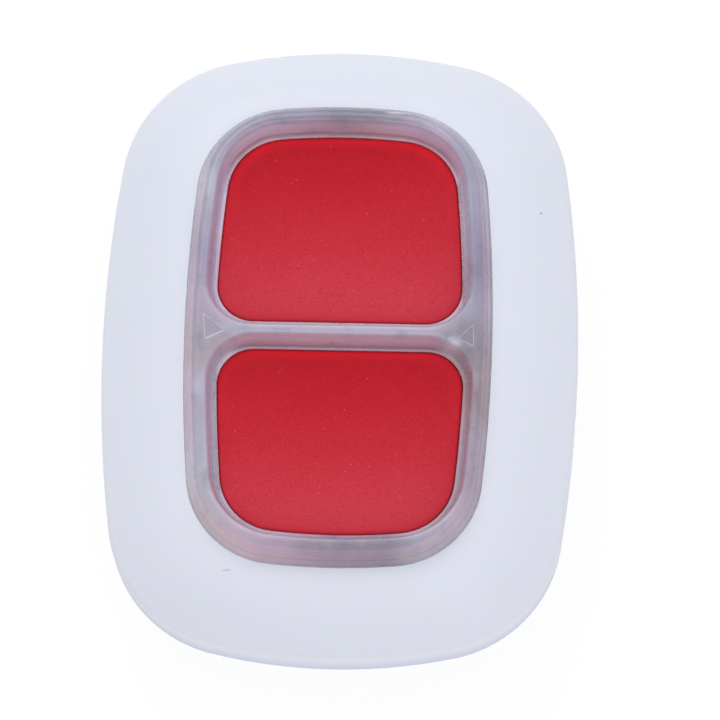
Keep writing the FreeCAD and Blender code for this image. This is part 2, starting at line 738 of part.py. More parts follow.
def button_carrier():
    """Inner moulding that carries the boots, backs the light guide and presses on the board."""
    body = new_body("button_carrier")
    outer = RIM.outset("sizes.carrier_outset")
    inner = RIM.inset("sizes.carrier_inset")
    pad(body, "plate", outline_sketch(body, "plate_outline", PLATE_BOTTOM, outer), "sizes.carrier_plate")
    ear_width = f"(2 * ({POST_SIDE} + sizes.carrier_ear_reach))"
    ears = [("0", f"({sign} * sizes.post_end)", ear_width, "sizes.carrier_ear_width") for sign in (1, -1)]
    ear_sketch = boxes_sketch(body, "ear_boxes", PLATE_BOTTOM, ears)
    pad(body, "ears", ear_sketch, "sizes.carrier_ear_thickness")
    feet = circles_at(four_places(POST_SIDE, "sizes.post_end"), "sizes.post_diameter")
    pad(body, "feet", circles_sketch(body, "feet_circles", BOARD_TOP, feet), "sizes.carrier_leg")
    rim = outline_sketch(body, "rim_ring", PLATE_TOP, outer, inner)
    pad(body, "rim", rim, f"{FLANGE_BOTTOM} - {PLATE_TOP}")
    width = "(sizes.switch_width + 2 * sizes.switch_window_clearance)"
    windows = [("0", f"({sign} * {BUTTON_CENTRE})", width, width) for sign in (1, -1)]
    window_boxes = boxes_sketch(body, "window_boxes", PLATE_BOTTOM, windows)
    pocket(body, "windows", window_boxes, "sizes.carrier_plate")
    slots = leg_boxes("sizes.leg_clearance", "sizes.cut_margin")
    slot_boxes = boxes_sketch(body, "slot_boxes", PLATE_BOTTOM, slots)
    pocket(body, "leg_slots", slot_boxes, f"{FLANGE_BOTTOM} - {PLATE_BOTTOM}")
    return body


def button_cap(label, turn):
    """Dished cap with a hollow skirt and a lip that keeps it under the light guide."""
    body = new_body(label)
    body.Placement = Placement(Vector(0, 0, 0), Rotation(Vector(0, 0, 1), turn))
    gap = "sizes.cap_gap"
    outline = window_sketch(body, "cap_outline", SKIRT_BOTTOM, Window(gap))
    pad(body, "cap", outline, f"{CAP_TOP} - {SKIRT_BOTTOM}")
    lip = window_sketch(body, "lip_outline", SKIRT_BOTTOM, Window("(0 - sizes.cap_lip_width)"))
    pad(body, "lip", lip, "sizes.cap_lip_height")
    hollow = window_sketch(body, "hollow_outline", SKIRT_BOTTOM, Window(f"({gap} + sizes.cap_wall)"))
    pocket(body, "hollow", hollow, f"{CAP_UNDERSIDE} - {SKIRT_BOTTOM}")
    dish = (
        ("0", "sizes.dish_top_share"),
        ("(sizes.dish_depth * sizes.dish_middle_depth_share)", "sizes.dish_middle_share"),
        ("sizes.dish_depth", "sizes.dish_floor_share"),
    )
    sections = []
    for depth, share in dish:
        name = f"dish_section_{len(sections)}"
        sections.append(window_sketch(body, name, f"({CAP_TOP} - {depth})", Window(gap, share)))
    loft(body, "dish", sections, grows=False)
    rim = face_at(body, value(CAP_TOP)).OuterWire.Edges
    outer = edge_names(body, lambda edge: any(edge.isSame(other) for other in rim))
    round_edges(body, "cap_edge", outer, "sizes.cap_rounding")
    return body


def button_boot(label, sign):
    """Silicone dome between a cap and its switch."""
    body = new_body(label, ("0", f"({sign} * {BUTTON_CENTRE})", PLATE_TOP))
    ring = "(sizes.boot_ring_diameter / 2)"
    ring_inside = f"({ring} - sizes.boot_ring_width)"
    pad_side = "(sizes.boot_pad_diameter / 2)"
    stem = "(sizes.boot_stem_diameter / 2)"
    top = f"({CAP_UNDERSIDE} - {PLATE_TOP})"
    web_top = f"({top} - sizes.boot_pad_height)"
    web_low = "(sizes.boot_ring_height - sizes.boot_web)"
    stem_end = f"({PLUNGER_TOP} + sizes.boot_stem_gap - {PLATE_TOP})"
    points = [
        ("0", stem_end),
        (stem, stem_end),
        (stem, f"({web_top} - sizes.boot_web)"),
        (pad_side, f"({web_top} - sizes.boot_web)"),
        (ring_inside, web_low),
        (ring_inside, "0"),
        (ring, "0"),
        (ring, "sizes.boot_ring_height"),
        (ring_inside, "sizes.boot_ring_height"),
        (pad_side, web_top),
        (pad_side, top),
        ("0", top),
    ]
    revolve(body, "dome", points)
    return body


def switch_body(label, sign):
    """Square push switch with a round collar and a well for its plunger."""
    body = new_body(label, ("0", f"({sign} * {BUTTON_CENTRE})", BOARD_TOP))
    square = ("0", "0", "sizes.switch_width", "sizes.switch_width")
    pad(body, "block", boxes_sketch(body, "block_box", "0", [square]), "sizes.switch_height")
    round_edges(body, "corners", edge_names(body, upright), "sizes.switch_corner")
    collar = ("0", "0", "sizes.switch_collar")
    collar_circle = circles_sketch(body, "collar_circle", "sizes.switch_height", [collar])
    pad(body, "collar", collar_circle, "sizes.switch_collar_height")
    well = ("0", "0", "(sizes.plunger_diameter + 2 * sizes.plunger_clearance)")
    depth = "(sizes.plunger_depth + sizes.button_travel + sizes.plunger_clearance)"
    floor = f"({SWITCH_TOP} - {BOARD_TOP} - {depth})"
    pocket(body, "well", circles_sketch(body, "well_circle", floor, [well]), depth)
    return body


def switch_plunger(label, sign):
    """Round plunger of a switch, its tip chamfered."""
    base = f"({SWITCH_TOP} - sizes.plunger_depth)"
    body = new_body(label, ("0", f"({sign} * {BUTTON_CENTRE})", base))
    side, top = "(sizes.plunger_diameter / 2)", "(sizes.plunger_depth + sizes.plunger_rise)"
    edge = "sizes.plunger_edge"
    points = [("0", "0"), (side, "0"), (side, f"({top} - {edge})"), (f"({side} - {edge})", top), ("0", top)]
    revolve(body, "plunger", points)
    return body


def circuit_board():
    """Board that follows the case, notched at the four screws."""
    body = new_body("circuit_board")
    outline = BODY.inset("(sizes.side_wall + sizes.board_clearance)")
    board = outline_sketch(body, "board_outline", BOARD_BOTTOM, outline)
    pad(body, "board", board, "sizes.board_thickness")
    notch = "(sizes.screw_rear_boss + 2 * sizes.board_notch_clearance)"
    notches = screw_circles(body, "notch_circles", BOARD_BOTTOM, notch)
    pocket(body, "notches", notches, "sizes.board_thickness")
    return body


def lamp(label, side, end):
    """Small indicator lamp under one of the light guide's legs."""
    reach = "(sizes.leg_outset - sizes.leg_thickness / 2)"
    x = f"({side} * (sizes.rim_width / 2 + {reach}))"
    y = f"({end} * (sizes.rim_length / 2 + {reach}))"
    body = new_body(label, (x, y, BOARD_TOP))
    for name, length, level in (("base", "lamp_length", "0"), ("lens", "lamp_lens_length", "sizes.lamp_base")):
        sides = (f"sizes.{length}", "sizes.lamp_width")
        if not end:
            sides = sides[::-1]
        sketch = boxes_sketch(body, f"{name}_box", level, [("0", "0", *sides)])
        pad(body, name, sketch, f"sizes.lamp_{name}")
    return body


def radio_chip():
    """Square chip with one corner cut."""
    body = new_body("radio_chip", (CHIP_SIDE, "sizes.chip_end", BOARD_TOP))
    half = "(sizes.chip_width / 2)"
    low, cut = f"(0 - {half})", f"({half} - sizes.chip_corner)"
    points = [(low, low), (half, low), (half, cut), (cut, half), (low, half)]
    pad(body, "chip", polygon_sketch(body, "chip_outline", points), "sizes.chip_height")
    return body


def crystal():
    """Crystal can beside the chip."""
    body = new_body("crystal", (CHIP_SIDE, "(0 - sizes.crystal_end)", BOARD_TOP))
    box = ("0", "0", "sizes.crystal_length", "sizes.crystal_width")
    pad(body, "can", boxes_sketch(body, "can_box", "0", [box]), "sizes.crystal_height")
    round_edges(body, "corners", edge_names(body, upright), "sizes.crystal_rounding")
    return body


def reservoir_capacitor():
    """Moulded capacitor with drafted sides."""
    place = ("(sizes.capacitor_inset - sizes.rim_width / 2)", "sizes.capacitor_end", BOARD_TOP)
    body = new_body("reservoir_capacitor", place)
    box = ("0", "0", "sizes.capacitor_length", "sizes.capacitor_width")
    sketch = boxes_sketch(body, "block_box", "0", [box])
    sizes = [("Length", "sizes.capacitor_height"), ("TaperAngle", "0 - sizes.capacitor_draft")]
    from_sketch(body, "Pad", "block", sketch, True, sizes)
    return body


def antenna():
    """Stamped strip on two feet along the top of the board."""
    place = ("sizes.antenna_side", "(sizes.body_length / 2 - sizes.antenna_end_room)", BOARD_TOP)
    body = new_body("antenna", place)
    outer = "(sizes.antenna_length / 2)"
    inner = f"({outer} - sizes.antenna_strip)"
    under = "(sizes.antenna_height - sizes.antenna_strip)"
    right = [(inner, "0"), (outer, "0"), (outer, "sizes.antenna_height")]
    left = [(f"(0 - {x})", y) for x, y in reversed(right)]
    points = right + left + [(f"(0 - {inner})", under), (inner, under)]
    sketch = polygon_sketch(body, "strip_outline", points, plane="XZ_Plane")
    pad(body, "strip", sketch, "sizes.antenna_sheet", Midplane=True)
    return body


def battery_cell():
    """Coin cell, its smaller face up."""
    base = "sizes.floor_wall + sizes.clip_thickness"
    body = new_body("battery_cell", ("0", f"(0 - {CELL_OFFSET})", base))
    side, top = "(sizes.cell_diameter / 2)", "sizes.cell_thickness"
    edge, cap = f"({side} - sizes.cell_edge)", "(sizes.cell_cap_diameter / 2)"
    shoulder = f"({top} - sizes.cell_cap_height)"
    points = [
        ("0", "0"),
        (edge, "0"),
        (side, "sizes.cell_edge"),
        (side, f"({shoulder} - sizes.cell_edge)"),
        (edge, shoulder),
        (cap, shoulder),
        (cap, top),
        ("0", top),
    ]
    revolve(body, "cell", points)
    return body


def battery_positive_clip():
    """Sprung strip under the cell, its two legs reaching the board."""
    body = new_body("battery_positive_clip", ("0", f"(0 - {CELL_OFFSET})", "sizes.floor_wall"))
    top = f"({BOARD_BOTTOM} - sizes.floor_wall)"
    strip = "sizes.clip_thickness"
    right = [(CLIP_OUTSIDE, "0"), (CLIP_OUTSIDE, top), (CLIP_INSIDE, top), (CLIP_INSIDE, strip)]
    left = [(f"(0 - {x})", y) for x, y in reversed(right)]
    sketch = polygon_sketch(body, "clip_outline", right + left, plane="XZ_Plane")
    pad(body, "strip", sketch, "sizes.clip_width", Midplane=True)
    return body


def battery_negative_contact():
    """Dished spring washer between the cell and the board."""
    body = new_body("battery_negative_contact", ("0", f"(0 - {CELL_OFFSET})", CELL_TOP))
    outer = "(sizes.contact_diameter / 2)"
    inner = f"({outer} - sizes.contact_ring)"
    tip = "(sizes.contact_tip / 2)"
    sheet_metal, top = "sizes.contact_sheet", "sizes.contact_height"
    ring_low = f"({top} - {sheet_metal})"
    points = [
        ("0", "0"),
        (tip, "0"),
        (inner, ring_low),
        (outer, ring_low),
        (outer, top),
        (inner, top),
        (tip, sheet_metal),
        ("0", sheet_metal),
    ]
    revolve(body, "spring", points)
    return body


def case_screws():
    """Four pan-head screws with a cross in the head, as one group."""
    base = "(sizes.screw_seat - sizes.screw_head_height)"
    screw = new_body("case_screw", (SCREW_SIDE, SCREW_END, base))
    head, shank = "(sizes.screw_head / 2)", "(sizes.screw_shank / 2)"
    tip = "(sizes.screw_head_height + sizes.screw_length)"
    points = [
        ("0", "0"),
        (head, "0"),
        (head, "sizes.screw_head_height"),
        (shank, "sizes.screw_head_height"),
        (shank, f"({tip} - {shank} / 2)"),
        (f"({shank} / 2)", tip),
        ("0", tip),
    ]
    revolve(screw, "turned", points)
    half, arm = "(sizes.screw_cross_length / 2)", "(sizes.screw_cross_width / 2)"
    quarter = [(half, f"(0 - {arm})"), (half, arm), (arm, arm)]
    cross = []
    for _ in range(4):
        cross += quarter
        quarter = [(f"(0 - {y})", x) for x, y in quarter]
    pocket(screw, "cross", polygon_sketch(screw, "cross_outline", cross), "sizes.screw_cross_depth")
    across = doc.addObject("Part::Mirroring", "screw_left")
    across.Source = screw
    across.Normal = Vector(1, 0, 0)
    pair = doc.addObject("Part::Compound", "screw_pair")
    pair.Links = [screw, across]
    lower = doc.addObject("Part::Mirroring", "lower_pair")
    lower.Source = pair
    lower.Normal = Vector(0, 1, 0)
    group = doc.addObject("Part::Compound", "case_screws")
    group.Label = "case_screws"
    group.Links = [pair, lower]
    doc.recompute()
    return group


def build():
    """Make every sub-part."""
    parts = [front_shell(), rear_shell(), case_seal(), light_guide(), button_carrier(), circuit_board()]
    for place, sign, turn in (("upper", "1", 0), ("lower", "-1", 180)):
        parts.append(button_cap(f"{place}_button_cap", turn))
        parts.append(button_boot(f"{place}_button_boot", sign))
        parts.append(switch_body(f"{place}_switch_body", sign))
        parts.append(switch_plunger(f"{place}_switch_plunger", sign))
    for place, side, end in (("top", 0, 1), ("bottom", 0, -1), ("left", -1, 0), ("right", 1, 0)):
        parts.append(lamp(f"{place}_lamp", side, end))
    parts += [radio_chip(), crystal(), reservoir_capacitor(), antenna()]
    parts += [battery_cell(), battery_positive_clip(), battery_negative_contact(), case_screws()]
    return parts


def check(parts):
    """Stop if anything in the document failed or a sub-part is not a sound solid."""
    for item in doc.Objects:
        if {"Invalid", "Error"} & set(item.State):
            raise ValueError(f"{item.Label} is {item.State}")
    for part in parts:
        if part.Shape.isNull() or not part.Shape.isValid() or not part.Shape.Solids:
            raise ValueError(f"{part.Label} has no sound solid")


parts = build()
doc.recompute()
check(parts)
os.makedirs("parts", exist_ok=True)
for part in parts:
    part.Shape.exportStep(f"parts/{part.Label}.step")
    box = part.Shape.BoundBox
    print(f"{part.Label}: {len(part.Shape.Solids)} solid, {part.Shape.Volume:.1f} mm3, "
          f"z {box.ZMin:.2f} to {box.ZMax:.2f}")
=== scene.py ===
import logging
import math
from dataclasses import dataclass
from enum import Enum
from typing import Iterable

import bmesh
import bpy
from mathutils import Euler, Matrix, Vector


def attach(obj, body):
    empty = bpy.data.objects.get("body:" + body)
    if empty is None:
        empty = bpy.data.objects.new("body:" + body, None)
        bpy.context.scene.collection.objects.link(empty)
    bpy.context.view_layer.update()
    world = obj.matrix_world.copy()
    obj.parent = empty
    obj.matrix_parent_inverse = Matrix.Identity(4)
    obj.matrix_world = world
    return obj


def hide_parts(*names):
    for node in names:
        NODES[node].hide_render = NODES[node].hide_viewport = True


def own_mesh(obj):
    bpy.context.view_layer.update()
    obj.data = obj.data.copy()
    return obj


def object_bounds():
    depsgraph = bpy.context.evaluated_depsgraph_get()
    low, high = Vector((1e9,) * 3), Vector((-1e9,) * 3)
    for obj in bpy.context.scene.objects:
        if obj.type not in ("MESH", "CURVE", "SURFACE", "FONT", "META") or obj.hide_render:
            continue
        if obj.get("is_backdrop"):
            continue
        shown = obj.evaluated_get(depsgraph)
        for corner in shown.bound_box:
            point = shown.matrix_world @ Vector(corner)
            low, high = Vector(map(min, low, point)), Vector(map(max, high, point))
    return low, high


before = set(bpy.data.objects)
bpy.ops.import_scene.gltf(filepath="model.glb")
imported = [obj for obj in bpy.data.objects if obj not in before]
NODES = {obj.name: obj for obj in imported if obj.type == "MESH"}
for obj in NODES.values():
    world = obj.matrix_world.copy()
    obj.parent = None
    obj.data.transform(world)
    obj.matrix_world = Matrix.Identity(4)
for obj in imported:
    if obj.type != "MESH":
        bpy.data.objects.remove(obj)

MM = 0.001
TINY = 0.0005 * MM
SEED = 0.01 * MM
Colour = tuple[float, float, float, float]
Stops = tuple[tuple[float, Colour], ...]
Place = tuple[float, float, float]
Point = tuple[float, float]
EVEN: Place = (1, 1, 1)
WHITE: Colour = (1, 1, 1, 1)
Piece = bpy.types.Object
Socket = bpy.types.NodeSocket

logging.basicConfig(level=logging.INFO, format="%(message)s")
log = logging.getLogger("button")


def srgb(red: float, green: float, blue: float) -> Colour:
    """Turns a screen colour into the linear colour that a socket takes.

    Args:
        red, green, blue: parts of the screen colour, from 0 to 255.

    Returns:
        The linear colour with full alpha.
    """
    parts = []
    for part in (red, green, blue):
        share = part / 255
        parts.append(share / 12.92 if share <= 0.04045 else ((share + 0.055) / 1.055) ** 2.4)
    return (*parts, 1.0)


def tones(*rows: tuple[float, int, int, int]) -> Stops:
    """The stops of a ramp, from their places in percent and screen colours."""
    return tuple((place / 100, srgb(*colour)) for place, *colour in rows)


# Outlines


@dataclass(frozen=True)
class Arc:
    """Part of a circle in millimetres, drawn anticlockwise."""

    x: float
    y: float
    radius: float
    start: float
    end: float
    steps: int

    def places(self) -> list[Point]:
        """The points along the arc, without its end."""
        turn = (self.end - self.start) / self.steps
        angles = [self.start + turn * step for step in range(self.steps)]
        return [(self.x + self.radius * math.cos(a), self.y + self.radius * math.sin(a)) for a in angles]

    def placed(self, share: float, x: float = 0.0, y: float = 0.0) -> "Arc":
        """The arc scaled about the middle of the case, half a turn on for a share below 0, and moved."""
        turn = math.pi if share < 0 else 0.0
        x, y = share * self.x + x, share * self.y + y
        return Arc(x, y, abs(share) * self.radius, self.start + turn, self.end + turn, self.steps)


@dataclass(frozen=True)
class Line:
    """Straight run of an outline in millimetres."""

    x: float
    y: float
    far_x: float
    far_y: float
    steps: int

    def places(self) -> list[Point]:
        """The points along the line, without its end."""
        run_x, run_y = (self.far_x - self.x) / self.steps, (self.far_y - self.y) / self.steps
        return [(self.x + run_x * step, self.y + run_y * step) for step in range(self.steps)]

    def placed(self, share: float, x: float = 0.0, y: float = 0.0) -> "Line":
        """The line scaled about the middle of the case, half a turn on for a share below 0, and moved."""
        near = share * self.x + x, share * self.y + y
        return Line(*near, share * self.far_x + x, share * self.far_y + y, self.steps)


Run = Arc | Line
Section = tuple[list[Run], float, float]


def meeting(x1: float, y1: float, r1: float, x2: float, y2: float, r2: float) -> Point:
    """Finds where two circles meet, on the side of the upper right corner.

    Args:
        x1, y1, r1: centre and radius of the first circle.
        x2, y2, r2: centre and radius of the second circle.

    Returns:
        The meeting point with the larger sum of its coordinates.
    """
    apart = math.hypot(x2 - x1, y2 - y1)
    along = (r1 * r1 - r2 * r2 + apart * apart) / (2 * apart)
    aside = math.sqrt(r1 * r1 - along * along)
    ux, uy = (x2 - x1) / apart, (y2 - y1) / apart
    found = [(x1 + along * ux - side * uy, y1 + along * uy + side * ux) for side in (aside, -aside)]
    return max(found, key=sum)


@dataclass(frozen=True)
class Oval:
    """Closed outline of eight arcs round the middle of the case, in millimetres."""

    half_width: float
    half_length: float
    side: float
    end: float
    corner: float
    side_steps: int = 26
    end_steps: int = 20
    corner_steps: int = 14

    def inset(self, distance: float) -> "Oval":
        """The outline moved inwards by a distance, or outwards by a negative one."""
        sizes = (self.half_width, self.half_length, self.side, self.end, self.corner)
        return Oval(*(size - distance for size in sizes))

    def runs(self) -> list[Run]:
        """The eight arcs, anticlockwise from the right side."""
        side_x, end_y = self.half_width - self.side, self.half_length - self.end
        cx, cy = meeting(side_x, 0, self.side - self.corner, 0, end_y, self.end - self.corner)
        low, high = math.atan2(cy, cx - side_x), math.atan2(cy - end_y, cx)
        half = [
            Arc(side_x, 0, self.side, -low, low, self.side_steps),
            Arc(cx, cy, self.corner, low, high, self.corner_steps),
            Arc(0, end_y, self.end, high, math.pi - high, self.end_steps),
            Arc(-cx, cy, self.corner, math.pi - high, math.pi - low, self.corner_steps),
        ]
        return half + [arc.placed(-1) for arc in half]


@dataclass(frozen=True)
class Window:
    """Outline of one opening in the light guide, in millimetres."""

    rim: Oval
    lower: bool = False
    trim: float = 0.0
    offset: float = 0.0
    guide_width: float = 2.2
    bar_edge: float = 0.95
    far_corner: float = 4.3
    near_corner: float = 2.7
    middle: float = 8.16
    side_steps: int = 22
    end_steps: int = 20
    corner_steps: int = 12
    bar_steps: int = 20

    def runs(self, gap: float = 0.0, share: float = 1.0) -> list[Run]:
        """Gives the runs of the outline, turned half a turn for the lower opening.

        Args:
            gap: how far the outline is moved inwards.
            share: how far it is then scaled about the button's middle.

        Returns:
            The runs, anticlockwise from the near end of the right side.
        """
        edge = self.rim.inset(self.guide_width)
        side_x, end_y = edge.half_width - edge.side, edge.half_length - self.trim - edge.end
        fx, fy = meeting(side_x, 0, edge.side - self.far_corner, 0, end_y, edge.end - self.far_corner)
        ny = self.bar_edge + self.near_corner
        nx = side_x + math.sqrt((edge.side - self.near_corner) ** 2 - ny * ny)
        near, far = math.atan2(ny, nx - side_x), math.atan2(fy, fx - side_x)
        top = math.atan2(fy - end_y, fx)
        bar = self.bar_edge + gap
        runs: list[Run] = [
            Arc(side_x, 0, edge.side - gap, near, far, self.side_steps),
            Arc(fx, fy, self.far_corner - gap, far, top, self.corner_steps),
            Arc(0, end_y, edge.end - gap, top, math.pi - top, self.end_steps),
            Arc(-fx, fy, self.far_corner - gap, math.pi - top, math.pi - far, self.corner_steps),
            Arc(-side_x, 0, edge.side - gap, math.pi - far, math.pi - near, self.side_steps),
            Arc(-nx, ny, self.near_corner - gap, math.pi - near, 1.5 * math.pi, self.corner_steps),
            Line(-nx, bar, nx, bar, self.bar_steps),
            Arc(nx, ny, self.near_corner - gap, 1.5 * math.pi, 2 * math.pi + near, self.corner_steps),
        ]
        runs = [run.placed(share, 0, (1 - share) * self.middle) for run in runs]
        return [run.placed(-1, self.offset) for run in runs] if self.lower else runs


RIM = Oval(11.26, 17.57, 116.1, 49.1, 6.75)
WINDOW = Window(RIM, bar_edge=1.02)
LOWER_WINDOW = Window(RIM, lower=True, trim=0.36, offset=0.2, bar_edge=1.07)


# Modelling


class Bench:
    """One mesh in edit mode, built up from rings of points."""

    def __init__(self, name: str) -> None:
        """Starts an empty mesh in edit mode."""
        bpy.ops.mesh.primitive_plane_add(size=MM)
        self.piece = bpy.context.object
        self.piece.name = name
        self.piece.data.name = name
        bpy.ops.object.mode_set(mode="EDIT")
        bpy.ops.mesh.select_all(action="SELECT")
        bpy.ops.mesh.delete(type="VERT")
        mesh = self.mesh()
        mesh.verts.layers.int.new("ring")
        mesh.verts.layers.int.new("order")
        mesh.verts.layers.float.new("across")
        self.rings = 0

    def mesh(self) -> bmesh.types.BMesh:
        """The mesh as it stands in edit mode."""
        return bmesh.from_edit_mesh(self.piece.data)

    def chosen(self) -> list[bmesh.types.BMVert]:
        """The selected points."""
        return [point for point in self.mesh().verts if point.select]

    def start(self, x: float, y: float, z: float) -> None:
        """Adds one point at a place in millimetres and selects it alone."""
        bpy.ops.mesh.select_all(action="DESELECT")
        bpy.ops.mesh.primitive_plane_add(size=SEED, location=Vector((x, y, z)) * MM)
        bpy.ops.mesh.merge(type="CENTER")

    def extrude(self, x: float, y: float, z: float) -> None:
        """Extrudes what is selected by so many millimetres."""
        bpy.ops.mesh.extrude_region_move(TRANSFORM_OT_translate={"value": Vector((x, y, z)) * MM})

    def draw(self, runs: Iterable[Run], height: float) -> None:
        """Draws the runs of an outline at a height, each from one point."""
        for run in runs:
            self.start(*run.places()[0], height)
            if isinstance(run, Arc):
                bpy.ops.mesh.spin(
                    steps=run.steps,
                    angle=run.start - run.end,
                    center=(run.x * MM, run.y * MM, height * MM),
                    axis=(0, 0, 1),
                )
            else:
                for _ in range(run.steps):
                    self.extrude((run.far_x - run.x) / run.steps, (run.far_y - run.y) / run.steps, 0)

    def begin(self, runs: list[Run], height: float, places: list[Point]) -> None:
        """Draws a closed ring and keeps on each of its points which place it has."""
        self.draw(runs, height)
        self.pick(0)
        bpy.ops.mesh.remove_doubles(threshold=TINY)
        order = self.mesh().verts.layers.int["order"]
        for point in self.chosen():
            near = [math.dist(point.co.xy / MM, place) for place in places]
            point[order] = near.index(min(near))

    def extend(self, height: float, places: list[Point]) -> None:
        """Extrudes the last ring and moves each new point to its place on another outline."""
        self.pick(self.rings)
        bpy.ops.mesh.extrude_region_move()
        order = self.mesh().verts.layers.int["order"]
        for point in self.chosen():
            point.co = Vector((*places[point[order]], height)) * MM
        bmesh.update_edit_mesh(self.piece.data)

    def name_ring(self, across: float) -> None:
        """Numbers the selected points as the next ring and keeps their place over the profile."""
        self.rings += 1
        layers = self.mesh().verts.layers
        number, profile = layers.int["ring"], layers.float["across"]
        for point in self.chosen():
            point[number] = self.rings
            point[profile] = across

    def pick(self, *rings: int) -> None:
        """Selects the points of some rings and the edges between them."""
        bpy.ops.mesh.select_all(action="DESELECT")
        mesh = self.mesh()
        number = mesh.verts.layers.int["ring"]
        for point in mesh.verts:
            point.select = point[number] in rings
        mesh.select_flush(True)
        bmesh.update_edit_mesh(self.piece.data)

    def tower(self, sections: Iterable[Section]) -> tuple[int, int]:
        """Draws a first ring and extends it from section to section.

        Args:
            sections: the runs, height and profile place of each ring, all with as many points.

        Returns:
            The numbers of the first and the last ring.
        """
        first = self.rings + 1
        for runs, height, across in sections:
            places = [place for run in runs for place in run.places()]
            if self.rings < first:
                self.begin(runs, height, places)
            else:
                self.extend(height, places)
            self.name_ring(across)
        return first, self.rings

    def cap(self, *rings: int) -> None:
        """Closes each of some rings with one face."""
        for ring in rings:
            self.pick(ring)
            bpy.ops.mesh.edge_face_add()

    def fill(self, *rings: int) -> None:
        """Fills the flat surface between an outer ring and those inside it."""
        self.pick(*rings)
        bpy.ops.mesh.fill(use_beauty=True)

    def done(self, angle: float = 40.0, bevel: float = 0.0) -> Piece:
        """Closes up the mesh and leaves edit mode.

        Args:
            angle: edges sharper than this many degrees stay crisp.
            bevel: how wide the crisp edges are bevelled, in millimetres.

        Returns:
            The finished piece.
        """
        bpy.ops.mesh.select_all(action="SELECT")
        bpy.ops.mesh.remove_doubles(threshold=TINY)
        bpy.ops.mesh.normals_make_consistent(inside=False)
        bpy.ops.object.mode_set(mode="OBJECT")
        if bevel:
            edges = self.piece.modifiers.new("edges", "BEVEL")
            edges.width = bevel * MM
            edges.segments = 2
            edges.limit_method = "ANGLE"
            bpy.ops.object.modifier_apply(modifier=edges.name)
        bpy.ops.object.shade_smooth_by_angle(angle=math.radians(angle))
        return self.piece


def polygon(points: list[Point]) -> list[Run]:
    """The runs of a closed polygon."""
    return [Line(*near, *far, 1) for near, far in zip(points, points[1:] + points[:1])]


def rectangle(x: float, y: float, width: float, length: float) -> list[Run]:
    """The four runs of a rectangle about a point."""
    corners = ((-1, -1), (1, -1), (1, 1), (-1, 1))
    return polygon([(x + sx * width / 2, y + sy * length / 2) for sx, sy in corners])


def shrunk(points: Iterable[Point], share: float) -> list[Point]:
    """A polygon scaled about the middle of its points."""
    middle = [sum(values) / len(values) for values in zip(*points)]
    return [tuple(m + share * (value - m) for m, value in zip(middle, point)) for point in points]


def choose(main: Piece, *others: Piece) -> None:
    """Selects some pieces alone and makes the first of them the active one."""
    bpy.ops.object.select_all(action="DESELECT")
    for piece in (main, *others):
        piece.select_set(True)
    bpy.context.view_layer.objects.active = main


# Materials


Number = "Field | float"


class Field:
    """A value that varies over a surface. Arithmetic on it adds the nodes for it."""

    def __init__(self, sheet: "Sheet", socket: Socket) -> None:
        """Wraps an output socket."""
        self.sheet = sheet
        self.socket = socket

    def _math(self, operation: str, *terms: Number, clamp: bool = False) -> "Field":
        """Adds one Math node."""
        node = self.sheet.node("Math", dict(enumerate(terms)), operation=operation, use_clamp=clamp)
        return Field(self.sheet, node.outputs[0])

    def __add__(self, other: Number) -> "Field":
        """The sum."""
        return self._math("ADD", self, other)

    __radd__ = __add__

    def __mul__(self, other: Number) -> "Field":
        """The product."""
        return self._math("MULTIPLY", self, other)

    def __sub__(self, other: Number) -> "Field":
        """The difference."""
        return self._math("SUBTRACT", self, other)

    def __rsub__(self, other: Number) -> "Field":
        """The difference from another value."""
        return self._math("SUBTRACT", other, self)

    def __truediv__(self, other: Number) -> "Field":
        """The quotient."""
        return self._math("DIVIDE", self, other)

    def clamped(self) -> "Field":
        """The value kept between 0 and 1."""
        return self._math("ADD", self, 0.0, clamp=True)

    def above(self, level: float) -> "Field":
        """1 where the value is over a level, else 0."""
        return self._math("GREATER_THAN", self, level)

    def greater(self, other: Number) -> "Field":
        """The larger of this value and another."""
        return self._math("MAXIMUM", self, other)

    def angle(self, other: Number) -> "Field":
        """The direction of the place with this height and another one as its distance to the right."""
        return self._math("ARCTAN2", self, other)

    def size(self) -> "Field":
        """The value without its sign."""
        return self._math("ABSOLUTE", self)

    def step(self, low: float, high: float) -> "Field":
        """Rises smoothly from 0 at one level to 1 at another."""
        sockets = {"Value": self, "From Min": low, "From Max": high}
        node = self.sheet.node("MapRange", sockets, interpolation_type="SMOOTHSTEP")
        return Field(self.sheet, node.outputs["Result"])


class Tree:
    """The nodes of a material or of the world."""

    def __init__(self, tree: bpy.types.NodeTree) -> None:
        """Starts without nodes."""
        self.tree = tree
        self.tree.nodes.clear()

    def feed(self, socket: Socket, value: object) -> None:
        """Links a value into a socket, or sets it there."""
        if isinstance(value, Field):
            value = value.socket
        if isinstance(value, Socket):
            self.tree.links.new(value, socket)
        else:
            socket.default_value = value

    def node(
        self, kind: str, sockets: dict[str | int, object] | None = None, **settings: object
    ) -> bpy.types.Node:
        """Adds a node.

        Args:
            kind: the node's type, without the ShaderNode before it.
            sockets: the value of, or the link into, each named or numbered input.
            settings: its properties.

        Returns:
            The new node.
        """
        node = self.tree.nodes.new(f"ShaderNode{kind}")
        for key, value in settings.items():
            setattr(node, key, value)
        for key, value in (sockets or {}).items():
            self.feed(node.inputs[key], value)
        return node


